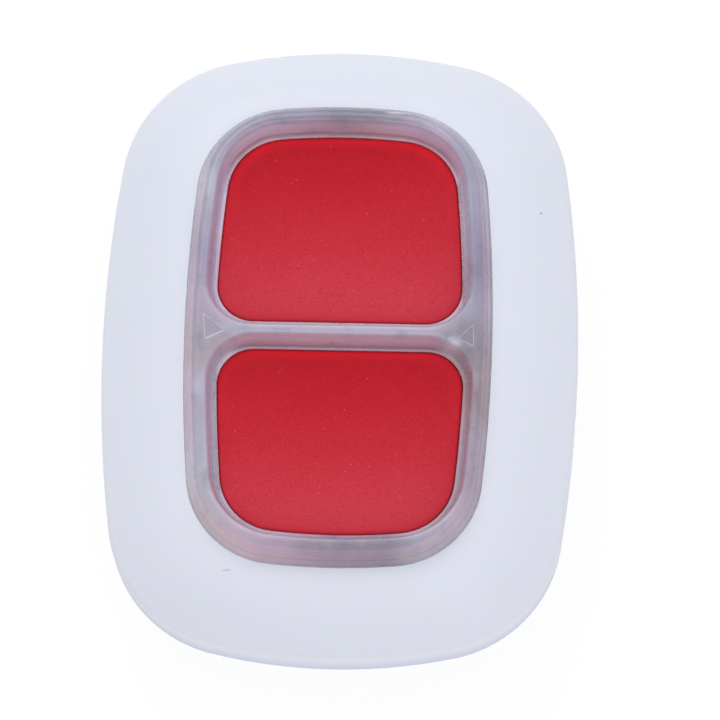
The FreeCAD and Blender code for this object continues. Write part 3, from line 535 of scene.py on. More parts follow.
class Sheet(Tree):
    """The nodes of one material."""

    def __init__(self, name: str) -> None:
        """Starts a material with its main shader and its coordinates in millimetres."""
        self.material = bpy.data.materials.new(name)
        self.material.use_nodes = True
        super().__init__(self.material.node_tree)
        self.shader = self.node("BsdfPrincipled")
        self.output = self.node("OutputMaterial", {"Surface": self.shader.outputs[0]})
        coordinates = self.node("TexCoord").outputs["Object"]
        self.place = self.vector("MULTIPLY", coordinates, (1 / MM,) * 3).outputs[0]

    def set(self, **values: object) -> None:
        """Sets or links inputs of the main shader, with _ for a space in their names."""
        for key, value in values.items():
            self.feed(self.shader.inputs[key.replace("_", " ")], value)

    def vector(self, operation: str, *terms: object) -> bpy.types.Node:
        """Adds one Vector Math node."""
        return self.node("VectorMath", dict(enumerate(terms)), operation=operation)

    def noise(self, scale: float, detail: float = 2.0, rough: float = 0.5, stretch: Place = EVEN) -> Field:
        """Cloudy noise with so many features to a millimetre."""
        place = self.vector("MULTIPLY", self.place, stretch).outputs[0] if stretch != EVEN else self.place
        sockets = {"Vector": place, "Scale": scale, "Detail": detail, "Roughness": rough}
        return Field(self, self.node("TexNoise", sockets).outputs[0])

    def cells(self, scale: float) -> Field:
        """Distance to the nearest of scattered points."""
        node = self.node("TexVoronoi", {"Vector": self.place, "Scale": scale})
        return Field(self, node.outputs["Distance"])

    def axis(self, name: str) -> Field:
        """One coordinate of the surface in millimetres."""
        return Field(self, self.node("SeparateXYZ", {0: self.place}).outputs[name])

    def kept(self, name: str) -> Field:
        """A value kept on the piece's points."""
        return Field(self, self.node("Attribute", attribute_name=name).outputs["Fac"])

    def distance(self, place: Place, stretch: Place) -> Field:
        """Distance from a place, measured longer or shorter along each axis."""
        apart = self.vector("SUBTRACT", self.place, place)
        shaped = self.vector("MULTIPLY", apart.outputs[0], stretch)
        return Field(self, self.vector("LENGTH", shaped.outputs[0]).outputs["Value"])

    def ramp(self, value: Field, stops: Stops) -> Socket:
        """Colour looked up along stops."""
        node = self.node("ValToRGB", {0: value})
        elements = node.color_ramp.elements
        while len(elements) < len(stops):
            elements.new(0.5)
        for element, (position, colour) in zip(elements, stops):
            element.position = position
            element.color = colour
        return node.outputs[0]

    def mix(self, first: object, second: object, factor: Number, how: str = "MIX") -> Socket:
        """Mixes two colours."""
        sockets = {0: factor, 6: first, 7: second}
        return self.node("Mix", sockets, data_type="RGBA", blend_type=how).outputs[2]

    def bump(self, height: Field, millimetres: float) -> None:
        """Raises the surface's shading by a height."""
        node = self.node("Bump", {"Height": height, "Distance": millimetres * MM})
        self.set(Normal=node.outputs[0])


class Finish:
    """What a surface looks like. Each kind fills in one sheet of nodes."""

    name: str

    def fill(self, sheet: Sheet) -> None:
        """Adds the nodes of this finish."""
        raise NotImplementedError

    def material(self) -> bpy.types.Material:
        """The material, made once for each finish."""
        name = f"{self.name}_finish"
        if name not in bpy.data.materials:
            self.fill(Sheet(name))
        return bpy.data.materials[name]


@dataclass(frozen=True)
class Moulded(Finish):
    """Plain moulded plastic or rubber, its colour drifting a little, with a fine grain."""

    name: str
    colour: Place
    shade: Place
    roughness: float = 0.45
    grain: float = 0.01
    grain_scale: float = 12.0
    coat: float = 0.0
    subsurface: float = 0.0

    def fill(self, sheet: Sheet) -> None:
        """Adds the drift of colour, the uneven gloss and the grain."""
        drift = sheet.noise(0.25, 3)
        fine = sheet.noise(self.grain_scale, 2)
        colour = sheet.mix(srgb(*self.colour), srgb(*self.shade), drift.step(0.3, 0.75))
        sheet.set(Base_Color=colour, Roughness=self.roughness + (fine - 0.5) * 0.12)
        sheet.set(Coat_Weight=self.coat, Coat_Roughness=0.2)
        if self.subsurface:
            sheet.set(Subsurface_Weight=self.subsurface, Subsurface_Scale=0.6 * MM)
        sheet.bump(fine, self.grain)


@dataclass(frozen=True)
class Metal(Finish):
    """Plated or rolled metal with fine streaks along one direction."""

    name: str
    colour: Place
    shade: Place
    roughness: float = 0.25
    streaks: tuple[float, float, float] = (1.0, 12.0, 1.0)
    grain: float = 0.004

    def fill(self, sheet: Sheet) -> None:
        """Adds the streaks, the dull patches and their relief."""
        lines = sheet.noise(1.6, 3, 0.6, self.streaks)
        patches = sheet.noise(0.4, 2)
        sheet.set(
            Base_Color=sheet.mix(srgb(*self.colour), srgb(*self.shade), patches.step(0.35, 0.75)),
            Roughness=self.roughness + (lines - 0.5) * 0.2 + (patches - 0.5) * 0.1,
            Metallic=1.0,
        )
        sheet.bump(lines, self.grain)


@dataclass(frozen=True)
class Spot:
    """A small mark, full up to its core and gone at its edge, in millimetres."""

    place: Place
    stretch: Place
    core: float
    edge: float
    strength: float

    def on(self, sheet: Sheet) -> Field:
        """How much of the mark shows."""
        return (1 - sheet.distance(self.place, self.stretch).step(self.core, self.edge)) * self.strength


@dataclass(frozen=True)
class ShellFinish(Finish):
    """Smooth white case plastic with its few marks from handling: a dot, a speck and a scratch."""

    name: str = "white_shell"
    colour: Colour = srgb(225, 228, 239)
    # Painted shade: the white at the lower end of the case, a touch darker.
    painted_shade_low_colour: Colour = srgb(224, 226, 237)
    # Painted highlight: pale colour of the lip round the opening.
    lip: Colour = srgb(234, 235, 243)
    # Painted shade: darker bluish tone of the lower side walls.
    foot: Colour = srgb(198, 202, 226)
    mark: Colour = srgb(96, 98, 112)
    spots: tuple[Spot, ...] = (
        Spot((14.66, 10.22, 12.4), (1, 1, 0.3), 0.05, 0.15, 0.55),
        Spot((-15.18, -4.9, 11.5), (1, 1, 0.3), 0.05, 0.13, 0.4),
        Spot((-7.55, -17.8, 13.6), (1, 6, 0.3), 0.25, 0.5, 0.3),
    )
    roughness: float = 0.42
    grain: float = 0.004

    def fill(self, sheet: Sheet) -> None:
        """Adds painted shade that darkens the white slightly down the case, with random cloudy tone, a
        painted highlight along the lip of the opening, painted shade on the lower side walls, the grain
        and the marks.
        """
        # Painted shade: the white darkens slightly towards the bottom of the case; the noise adds random
        # tone.
        down = sheet.axis("Y").step(20.0, -24.0)
        tint_patch = sheet.noise(0.12, 2)
        fine = sheet.noise(9.0, 2)
        colour = sheet.mix(self.colour, self.painted_shade_low_colour, (down * 0.8 + (tint_patch - 0.5) * 0.35).clamped())
        height = sheet.axis("Z")
        # Painted highlight: a thin pale line along the lip of the opening.
        colour = sheet.mix(colour, self.lip, height.step(14.485, 14.5) * 0.8)
        # Painted shade: the lower side walls darken and turn bluish below 10 mm.
        colour = sheet.mix(colour, self.foot, height.step(10.0, 6.5))
        dot, speck, scratch = (spot.on(sheet) for spot in self.spots)
        colour = sheet.mix(colour, self.mark, (dot + speck + scratch).clamped())
        sheet.set(Base_Color=colour, Roughness=self.roughness + (fine - 0.5) * 0.1)
        sheet.set(Subsurface_Weight=0.08, Subsurface_Scale=0.5 * MM, Coat_Weight=0.12, Coat_Roughness=0.25)
        sheet.bump(fine, self.grain)


@dataclass(frozen=True)
class CapFinish(Finish):
    """Matt red plastic with a fine grain and a few pale specks."""

    name: str = "red_cap"
    # Painted shade and sheen: deep red at the top of each cap, paler and pinker towards its lower end.
    down: Stops = tones((0, 191, 12, 34), (50, 199, 32, 50), (100, 205, 48, 66))
    # Painted highlight: brighter, more saturated red on the rounded edge of the cap, strongest at its top.
    edge: Stops = tones(
        (0, 230, 22, 42), (15, 222, 22, 42), (50, 204, 18, 38), (80, 204, 28, 46), (100, 208, 42, 60)
    )
    # Painted shade: dark red on the outermost edge of the cap, down in the gap beside the frame.
    rim: Colour = srgb(150, 14, 30)
    dark_grain: Colour = srgb(168, 16, 30)
    pale_grain_and_sheen: Colour = srgb(216, 72, 86)
    speck: Colour = srgb(232, 140, 148)
    roughness: float = 0.52
    grain: float = 0.016

    def fill(self, sheet: Sheet) -> None:
        """Adds the grain, the specks, a painted sheen and shade running from deep red at the top of each
        cap to paler pink at its lower end with a slow random drift, a painted highlight on the rounded
        edge and painted shade at the outer rim.
        """
        x, y, across = sheet.axis("X"), sheet.axis("Y"), sheet.kept("across")
        drift, fine = sheet.noise(0.2, 3), sheet.noise(5.5, 2, 0.6)
        dust = sheet.noise(9.0, 1)
        upper = y.above(0.0)
        # Painted sheen: 0 at the top of each cap, 1 at its lower end; a slow random drift is added below.
        down = upper * y.step(13.5, 2.0) + (1 - upper) * y.step(-2.5, -14.0)
        specks = 1 - sheet.cells(1.5).step(0.05, 0.11)
        rare = sheet.noise(0.8, 1).step(0.52, 0.6)
        down = (down + (drift - 0.5) * 0.3).clamped()
        colour = sheet.ramp(down, self.down)
        colour = sheet.mix(colour, self.dark_grain, fine.step(0.45, 0.75) * 0.32)
        # Pale grain, stronger towards the lower end of each cap as part of the painted sheen.
        colour = sheet.mix(colour, self.pale_grain_and_sheen, dust.step(0.5, 0.8) * (0.2 + down * 0.35))
        colour = sheet.mix(colour, self.speck, specks * rare * 0.3)
        beside = x.size().step(6.0, 8.3)
        # Painted highlight on the rounded edge, weaker at the sides of the cap.
        edge = across.step(0.86, 0.985) * (0.85 - beside * 0.5)
        colour = sheet.mix(colour, sheet.ramp(down, self.edge), edge)
        # Painted shade along the outermost edge and the side walls, strongest at the sides of the cap.
        colour = sheet.mix(colour, self.rim, across.step(1.0, 1.08) * (0.2 + beside * 0.6))
        sheet.set(Base_Color=colour, Roughness=self.roughness + (fine - 0.5) * 0.2)
        sheet.set(Specular_IOR_Level=0.17)
        sheet.bump(fine + dust * 0.5, self.grain)


@dataclass(frozen=True)
class TintPatch:
    """A patch of tint in the clear plastic: a dark one where a lamp or a gate shows, a pale one a painted
    highlight.
    """

    place: Point
    reach: float
    stretch: Point
    tint: tuple[int, int, int]


@dataclass(frozen=True)
class GuideFinish(Finish):
    """Milky clear plastic of the frame: stops in over its profile, tints in percent round it, cloudy
    patches. The stops carry the plastic's lavender tone with painted shade, painted highlights and a
    painted pink reflection of the red caps.
    """

    name: str = "clear_guide"
    roughness: float = 0.26
    grain: float = 0.01
    # Stops over the profile for the left side, right, top and bottom: the plastic's lavender tone with
    # painted light. They hold pale painted highlights on edges and painted shade at the feet of slopes.
    # They hold a painted pink reflection of the red caps next to the openings. On the inner slopes, a
    # bluish tone offsets the red light they catch from the caps.
    sides: Stops = tones(
        (12, 206, 202, 214), (16, 182, 170, 186), (22, 188, 176, 194), (32, 182, 169, 188),
        (35.5, 166, 160, 178), (40, 163, 161, 181), (52, 166, 163, 183), (62, 174, 170, 190),
        (70, 184, 190, 216), (86, 186, 196, 222), (90.5, 212, 200, 226), (100, 240, 216, 236),
    )
    right: Stops = tones(
        (12, 206, 202, 214), (14.5, 168, 156, 172), (18, 170, 158, 174), (20, 188, 178, 196),
        (22, 186, 176, 194), (23.5, 168, 158, 180), (32, 164, 155, 177), (35.5, 162, 154, 174),
        (40, 159, 156, 176), (52, 151, 149, 170), (62, 162, 172, 193), (70, 186, 214, 236),
        (86, 188, 212, 232), (92, 228, 202, 222), (100, 240, 198, 214),
    )
    top: Stops = tones(
        (0, 206, 202, 214), (13, 204, 202, 212), (18, 158, 155, 174), (36, 150, 144, 166),
        (55, 152, 142, 164), (64, 174, 164, 186), (74, 202, 198, 222), (86, 202, 186, 206),
        (90, 178, 136, 156), (94, 174, 130, 150), (96, 206, 166, 182), (100, 214, 174, 188),
    )
    bottom: Stops = tones(
        (0, 206, 202, 214), (13, 204, 202, 212), (14.5, 150, 138, 152), (17, 172, 160, 174),
        (25, 176, 160, 172), (34, 178, 160, 176), (42, 168, 155, 173), (50, 163, 155, 172),
        (60, 170, 164, 183), (65, 180, 172, 190), (75, 180, 164, 182), (100, 204, 188, 206),
    )
    # Painted light on the bar between the caps: pale painted highlights on the ledges, and on its lower
    # side a dark band of painted shade at the foot of the slope.
    bar: Stops = tones(
        (50, 178, 170, 188), (62, 182, 170, 188), (68, 190, 174, 192), (80, 198, 180, 198),
        (88, 178, 158, 174), (93, 190, 176, 192), (100, 210, 200, 214),
    )
    bar_foot: Stops = tones(
        (50, 178, 170, 188), (62, 184, 174, 192), (68, 190, 174, 192), (80, 198, 178, 196),
        (85, 192, 166, 182), (89, 180, 146, 164), (91.5, 142, 100, 122), (94, 142, 100, 122),
        (96, 182, 138, 156), (100, 190, 150, 168),
    )
    # Tints round the frame, lighter or darker by place; the lighter ones are painted highlights.
    around: tuple[tuple[float, int, int, int], ...] = (
        (0, 105, 95, 90), (3, 105, 95, 85), (5.5, 120, 105, 105), (8, 110, 100, 100),
        (13, 115, 120, 110), (16, 125, 125, 115), (19, 130, 115, 115), (21.5, 110, 95, 100),
        (24.5, 80, 70, 80), (29, 70, 65, 70), (31.5, 110, 115, 115), (34, 125, 130, 130),
        (37, 110, 105, 105), (40, 105, 105, 105), (42.5, 90, 80, 75), (45.5, 95, 90, 85),
        (50, 90, 90, 85), (53, 105, 100, 100), (57, 85, 75, 80), (63, 105, 105, 105),
        (65.5, 110, 115, 110), (68.5, 140, 140, 130), (71, 95, 95, 90), (75, 75, 70, 70),
        (79, 90, 90, 90), (81.5, 110, 110, 105), (86.5, 120, 125, 115), (89.2, 100, 95, 95),
        (92, 90, 85, 90), (95.5, 110, 100, 100), (100, 105, 95, 90),
    )
    brightest: float = 140.0
    patch_height: float = 15.8
    patch_depth: float = 0.4
    # Dark patches where parts inside show through; the palest are painted highlights.
    clouds_and_highlights: tuple[TintPatch, ...] = (
        TintPatch((0.3, 16.75), 2.4, (0.8, 2.2), (122, 124, 142)),
        TintPatch((2.6, 16.7), 1.0, (0.8, 2.0), (118, 120, 136)),
        TintPatch((3.9, 16.8), 0.9, (0.7, 2.4), (206, 206, 216)),
        TintPatch((-1.6, -16.4), 1.5, (1, 1.8), (150, 140, 148)),
        TintPatch((0.8, -16.6), 1.0, (1, 1.8), (140, 132, 142)),
        TintPatch((3.8, -16.4), 1.2, (1, 1.8), (140, 130, 142)),
        TintPatch((-10.0, -0.9), 1.1, (1.9, 0.9), (138, 136, 150)),
        TintPatch((-9.8, -2.6), 0.8, (1.3, 1.0), (166, 160, 164)),
        TintPatch((-9.9, -4.6), 1.4, (1.8, 0.9), (182, 184, 204)),
        TintPatch((-7.6, 0.1), 1.5, (0.9, 1.8), (170, 172, 192)),
        TintPatch((10.3, -1.3), 1.2, (1.5, 0.9), (138, 134, 150)),
        TintPatch((9.9, -3.6), 1.4, (1.5, 0.9), (160, 152, 160)),
        TintPatch((8.3, -0.9), 1.1, (1.1, 1.3), (206, 206, 220)),
        TintPatch((9.5, 1.8), 1.6, (1.2, 1.0), (158, 154, 178)),
        TintPatch((-9.2, -11.4), 1.0, (2.2, 1), (150, 150, 152)),
    )
    gates: tuple[Spot, ...] = (
        Spot((-0.2, -16.1, 15.9), (1, 1, 0.5), 0.1, 0.6, 0.35),
        Spot((2.2, -16.0, 15.9), (1, 1, 0.5), 0.1, 0.6, 0.35),
    )
    yellow: Colour = srgb(172, 164, 146)
    # Painted reflection: pink of the lower red cap on the frame beside it.
    mauve: Colour = srgb(160, 142, 153)
    haze: Colour = srgb(224, 228, 234)
    milk: Colour = srgb(188, 180, 196)

    def fill(self, sheet: Sheet) -> None:
        """Adds the colours over the profile, which change down and round the frame and carry painted
        shade, painted highlights and a painted pink reflection of the caps, then the tints round the frame
        and the cloudy patches and painted highlights in the plastic.
        """
        across, x, y = sheet.kept("across"), sheet.axis("X"), sheet.axis("Y")
        slow, cloudy = sheet.noise(0.45, 3), sheet.noise(1.1, 3, 0.6)
        wander = across + (slow - 0.5) * 0.05
        # Profile colours with their painted light, changing down and round the frame.
        colour = sheet.ramp(wander, self.sides)
        parts = ((self.right, x, 2.0, 8.0), (self.top, y, 10.5, 14.5), (self.bottom, y, -10.5, -14.5))
        for stops, axis, low, high in parts:
            colour = sheet.mix(colour, sheet.ramp(wander, stops), axis.step(low, high))
        on_bar = (1 - y.size().step(0.8, 2.4)) * (1 - x.size().step(6.8, 8.6))
        # Bar colours with their painted highlight and painted shade.
        bar = sheet.mix(sheet.ramp(across, self.bar_foot), sheet.ramp(across, self.bar), y.above(0.0))
        colour = sheet.mix(colour, bar, on_bar)
        # Painted pink reflection of the lower red cap, on the right of the frame along it.
        colour = sheet.mix(colour, self.mauve, x.step(5.5, 9.5) * (1 - y.step(-2.0, 3.0)) * 0.6)
        turn = y.angle(x) / (2 * math.pi) + 0.5 + (slow - 0.5) * 0.02
        # Tints round the frame; the lighter ones are painted highlights.
        tints = [
            (place / 100, (*(part / self.brightest for part in tint), 1)) for place, *tint in self.around
        ]
        full = (*(self.brightest / 100,) * 3, 1)
        tint = sheet.mix(sheet.ramp(turn, tints), full, 1.0, "MULTIPLY")
        tint = sheet.mix(tint, WHITE, across.step(0.58, 0.70), "DARKEN")
        colour = sheet.mix(colour, tint, 1 - on_bar, "MULTIPLY")
        colour = sheet.mix(colour, self.haze, cloudy.step(0.5, 0.75) * 0.7, "MULTIPLY")
        colour = sheet.mix(colour, self.milk, slow.step(0.5, 0.8) * 0.15)
        # Patches of tint in the plastic; the pale ones are painted highlights.
        for tint_patch in self.clouds_and_highlights:
            apart = sheet.distance((*tint_patch.place, self.patch_height), (*tint_patch.stretch, self.patch_depth))
            near = 1 - (apart + (cloudy - 0.5) * tint_patch.reach).step(0.0, tint_patch.reach)
            colour = sheet.mix(colour, srgb(*tint_patch.tint), near * 0.75)
        first, second = (gate.on(sheet) for gate in self.gates)
        colour = sheet.mix(colour, self.yellow, first.greater(second))
        sheet.set(Base_Color=colour, Roughness=self.roughness + (cloudy - 0.5) * 0.16)
        sheet.set(Coat_Weight=0.25, Coat_Roughness=0.1, Subsurface_Weight=0.6)
        sheet.set(Subsurface_Radius=(1.0, 0.9, 0.95), Subsurface_Scale=1.0 * MM)
        sheet.bump(cloudy, self.grain)


@dataclass(frozen=True)
class BoardFinish(Finish):
    """Green solder mask over copper tracks, with tinned pads."""

    name: str = "board"
    mask: Colour = srgb(22, 84, 52)
    track: Colour = srgb(38, 112, 70)
    pad: Colour = srgb(196, 196, 190)

    def fill(self, sheet: Sheet) -> None:
        """Adds the tracks, the pads and the edge of bare laminate."""
        sizes = {"Scale": 0.55, "Mortar Size": 0.09, "Mortar Smooth": 0.2}
        bricks = sheet.node("TexBrick", {"Vector": sheet.place, **sizes})
        lines = Field(sheet, bricks.outputs["Fac"])
        pads = 1 - sheet.cells(0.45).step(0.10, 0.13)
        colour = sheet.mix(self.mask, self.track, lines)
        colour = sheet.mix(colour, self.pad, pads)
        sheet.set(Base_Color=colour, Roughness=0.35 + sheet.noise(3.0) * 0.1, Metallic=pads * 0.8)
        sheet.bump(lines, 0.02)


class Finishes(Enum):
    """The finish of each material slot."""

    SHELL = ShellFinish()
    SEAL = Moulded("seal_rubber", (44, 44, 48), (58, 58, 62), 0.7, 0.012, 10.0)
    GUIDE = GuideFinish()
    CARRIER = Moulded("carrier_plastic", (74, 40, 48), (60, 32, 40), 0.5, 0.01, 9.0)
    BOARD = BoardFinish()
    CAP = CapFinish()
    BOOT = Moulded("boot_silicone", (196, 188, 184), (180, 170, 168), 0.55, 0.01, 8.0, subsurface=0.3)
    SWITCH = Moulded("switch_plastic", (40, 40, 44), (52, 52, 56), 0.45, 0.008, 12.0)
    PLUNGER = Moulded("plunger_plastic", (206, 198, 176), (192, 184, 160), 0.4, 0.006, 12.0)
    LAMP = Moulded("lamp_resin", (236, 226, 176), (222, 208, 150), 0.25, 0.004, 9.0, coat=0.5)
    CHIP = Moulded("chip_plastic", (36, 37, 40), (46, 47, 50), 0.6, 0.01, 18.0)
    CAN = Metal("plated_can", (206, 204, 198), (184, 182, 176), 0.24)
    CAPACITOR = Moulded("capacitor_resin", (200, 142, 44), (184, 126, 36), 0.45, 0.01, 9.0)
    ANTENNA = Metal("plated_steel", (204, 200, 188), (186, 180, 168), 0.3, (12.0, 1.0, 1.0))
    CELL = Metal("cell_steel", (208, 208, 206), (190, 190, 188), 0.22, (6.0, 6.0, 1.0))
    SPRING = Metal("spring_steel", (196, 190, 176), (178, 170, 156), 0.28, (1.0, 8.0, 1.0))
    SCREW = Metal("screw_steel", (186, 186, 188), (160, 160, 164), 0.3, (3.0, 3.0, 3.0))


def dress(piece: Piece, finish: Finishes) -> None:
    """Gives a piece one finish all over."""
    material = finish.value.material()
    if piece.material_slots:
        for slot in piece.material_slots:
            slot.material = material
    else:
        piece.data.materials.append(material)


def place_on(piece: Piece, body: str, slot: Finishes, *nodes: str) -> None:
    """Finishes a new piece and puts it in place of the nodes it stands for.

    Args:
        piece: the new piece.
        body: the body that it moves with.
        slot: its finish.
        nodes: the nodes that it replaces.
    """
    dress(piece, slot)
    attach(piece, body)
    if nodes:
        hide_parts(*nodes)
    log.info("piece %s: %d faces on %s", piece.name, len(piece.data.polygons), body)


# Sub-assemblies


@dataclass
class LightGuide:
    """Milky frame round both buttons, with its ridge, slopes, ribs and marks."""

    flange_bottom: float = 11.2
    leg_bottom: float = 7.6
    leg_width: float = 2.4
    leg_thickness: float = 1.2
    leg_outset: float = 0.5
    leg_across: float = 0.1
    outer: tuple[Place, ...] = (
        (-0.7, 11.2, 0.0), (-0.7, 12.2, 0.0), (0.02, 12.2, 0.02), (0.02, 14.52, 0.10),
        (0.05, 14.66, 0.15), (0.14, 14.80, 0.18), (0.33, 15.19, 0.22), (0.37, 15.20, 0.23),
        (0.40, 15.30, 0.25), (0.62, 15.76, 0.30), (0.68, 15.80, 0.33), (0.74, 15.84, 0.35),
        (0.80, 15.91, 0.37), (0.88, 15.96, 0.39), (0.98, 15.99, 0.42), (1.08, 16.0, 0.45),
    )
    inner: tuple[Place, ...] = (
        (-0.92, 16.0, 0.54), (-0.84, 15.985, 0.57), (-0.77, 15.94, 0.60), (-0.71, 15.87, 0.63),
        (-0.66, 15.77, 0.66), (-0.62, 15.64, 0.70), (-0.53, 15.28, 0.76), (-0.43, 14.84, 0.82),
        (-0.34, 14.38, 0.87), (-0.31, 14.26, 0.89), (-0.26, 14.17, 0.91), (-0.14, 14.10, 0.95),
        (-0.03, 14.05, 0.98), (-0.005, 14.02, 0.99), (0.0, 13.95, 1.0), (0.0, 11.2, 1.0),
    )
    marks: tuple[tuple[Point, ...], ...] = (
        ((-9.85, 1.02), (-9.66, -1.0), (-8.19, -0.28)),
        ((9.93, -1.14), (9.87, 0.53), (8.70, -0.63)),
    )
    mark_sections: tuple[Place, ...] = (
        (1.0, 0.0, 0.5), (0.97, 0.01, 0.89), (0.87, 0.02, 0.89), (0.82, 0.06, 0.5)
    )
    rib_reach: float = 0.25
    rib_width: float = 0.1
    rib_foot: float = 13.99
    rib_sections: tuple[tuple[float, float, float, float], ...] = (
        (1.0, 1.0, 0.0, 0.94), (0.96, 0.9, 0.13, 0.97), (0.85, 0.5, 0.16, 1.0)
    )
    rib_pitch: float = 0.2
    ribs_from: float = 1.6
    ribs: int = 52

    def legs(self) -> list[list[Run]]:
        """Outlines of the four legs over the lamps."""
        middle = self.leg_outset - self.leg_thickness / 2
        side, end = RIM.half_width + middle, RIM.half_length + middle
        across = (self.leg_thickness, self.leg_width)
        beside = [rectangle(x, 0, *across) for x in (side, -side)]
        return beside + [rectangle(0, y, *reversed(across)) for y in (end, -end)]

    def body(self) -> Piece:
        """Models the frame from its outer and inner rings, its marks and its legs."""
        bench = Bench("light_guide_frame")
        foot, ridge = bench.tower((RIM.inset(inset).runs(), z, across) for inset, z, across in self.outer)
        tops, bottoms = [ridge], [foot]
        for window in (WINDOW, LOWER_WINDOW):
            top, bottom = bench.tower((window.runs(gap), z, across) for gap, z, across in self.inner)
            tops.append(top)
            bottoms.append(bottom)
        ridge_height = self.outer[-1][1]
        for points in self.marks:
            edge, low = bench.tower(
                (polygon(shrunk(points, share)), ridge_height - depth, across)
                for share, depth, across in self.mark_sections
            )
            tops.append(edge)
            bench.cap(low)
        for leg in self.legs():
            levels = (self.flange_bottom, self.leg_bottom + 0.1, self.leg_bottom)
            root, end = bench.tower((leg, level, self.leg_across) for level in levels)
            bottoms.append(root)
            bench.cap(end)
        bench.fill(*tops)
        bench.fill(*bottoms)
        return bench.done()

    def rib(self) -> Piece:
        """Models one fine rib that crosses the ledge beside a cap, its inner end at the origin."""
        bench = Bench("ledge_rib")
        reach, wide = self.rib_reach, self.rib_width
        ends = bench.tower(
            (rectangle(reach / 2, 0, reach * length, wide * width), self.rib_foot + rise, across)
            for length, width, rise, across in self.rib_sections
        )
        bench.cap(*ends)
        return bench.done(30)

    def rib_rows(self) -> list[Piece]:
        """Copies the rib along the right side of the upper opening, and half a turn on."""
        model = self.rib()
        edge = RIM.inset(WINDOW.guide_width)
        rows = []
        for sign, offset, turn in ((1, 0.0, 0.0), (-1, LOWER_WINDOW.offset, math.pi)):
            for index in range(self.ribs):
                y = self.ribs_from + index * self.rib_pitch
                angle = math.asin(y / edge.side)
                x = edge.half_width - edge.side + edge.side * math.cos(angle)
                choose(model)
                bpy.ops.object.duplicate(linked=False)
                rib = bpy.context.object
                rib.location = Vector((sign * x + offset, sign * y, 0)) * MM
                rib.rotation_euler.z = angle + turn
                rows.append(rib)
        bpy.data.objects.remove(model)
        return rows

    def build(self) -> None:
        """Builds the frame and puts it on the housing."""
        ribs = self.rib_rows()
        body = self.body()
        choose(body, *ribs)
        bpy.ops.object.join()
        place_on(body, "housing", Finishes.GUIDE, "light_guide")


@dataclass
class Buttons:
    """The two dished caps and the rubber boots under them."""

    gap: float = 0.012
    wall: float = 1.0
    lip: float = 0.5
    lip_height: float = 0.9
    bottom: float = 10.2
    top: float = 14.05
    ceiling: float = 11.4
    rounding: float = 0.2
    dish_depth: float = 0.6
    dish_power: float = 2.3
    dish_middle: float = 0.06
    dish_start: float = 0.945
    dish_rings: int = 16
    rounding_rings: int = 6
    lip_edge: float = 0.03
    side_across: float = 1.1
    boot_profile: tuple[Point, ...] = (
        (0.0, 9.95), (1.3, 9.95), (1.3, 10.5), (2.0, 10.5), (4.3, 9.8), (4.3, 9.6),
        (5.4, 9.6), (5.4, 10.2), (4.3, 10.2), (2.0, 10.9), (2.0, 11.4), (0.0, 11.4),
    )
    boot_edge: float = 0.08

    def dish(self, share: float) -> float:
        """Depth of the dish at a share of the cap's size."""
        inward = max(0.0, 1 - share / self.dish_start)
        return self.dish_depth * (1 - (1 - inward) ** self.dish_power)

    def cap_sections(self, window: Window) -> list[Section]:
        """The rings of a cap, from the middle of its dish out, down, and up inside to its ceiling."""
        sections = []
        for index in range(self.dish_rings):
            out = index / (self.dish_rings - 1)
            share = self.dish_middle + (self.dish_start - self.dish_middle) * out
            sections.append((window.runs(self.gap, share), self.top - self.dish(share), share))
        for index in range(self.rounding_rings):
            angle = math.pi / 2 * (1 - index / (self.rounding_rings - 1))
            inset = self.gap + self.rounding * (1 - math.cos(angle))
            drop = self.rounding * (1 - math.sin(angle))
            sections.append((window.runs(inset), self.top - drop, 1 + 0.02 * index))
        lip_top, inside = self.bottom + self.lip_height, self.gap + self.wall
        for inset, level in (
            (self.gap, lip_top),
            (self.lip_edge - self.lip, lip_top),
            (-self.lip, lip_top - self.lip_edge),
            (-self.lip, self.bottom),
            (inside, self.bottom),
            (inside, self.ceiling),
        ):
            sections.append((window.runs(inset), level, self.side_across))
        return sections

    def cap(self, name: str, window: Window) -> Piece:
        """Models the cap in one opening."""
        bench = Bench(name)
        bench.cap(*bench.tower(self.cap_sections(window)))
        return bench.done(35)

    def boot(self, name: str, y: float) -> Piece:
        """Models a boot by spinning its profile about the button's middle."""
        bench = Bench(name)
        (x, z), *others = self.boot_profile
        bench.start(x, y, z)
        for next_x, next_z in others:
            bench.extrude(next_x - x, 0, next_z - z)
            x, z = next_x, next_z
        bpy.ops.mesh.select_all(action="SELECT")
        bpy.ops.mesh.spin(steps=72, angle=2 * math.pi, center=(0, y * MM, 0), axis=(0, 0, 1))
        return bench.done(bevel=self.boot_edge)

    def build(self) -> None:
        """Builds both caps and both boots."""
        for place, window, sign in (("upper", WINDOW, 1), ("lower", LOWER_WINDOW, -1)):
            cap = self.cap(f"{place}_cap_shell", window)
            place_on(cap, f"{place}_button", Finishes.CAP, f"{place}_button_cap")
            boot = self.boot(f"{place}_boot_dome", sign * WINDOW.middle)
            place_on(boot, "housing", Finishes.BOOT, f"{place}_button_boot")
            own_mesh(boot)


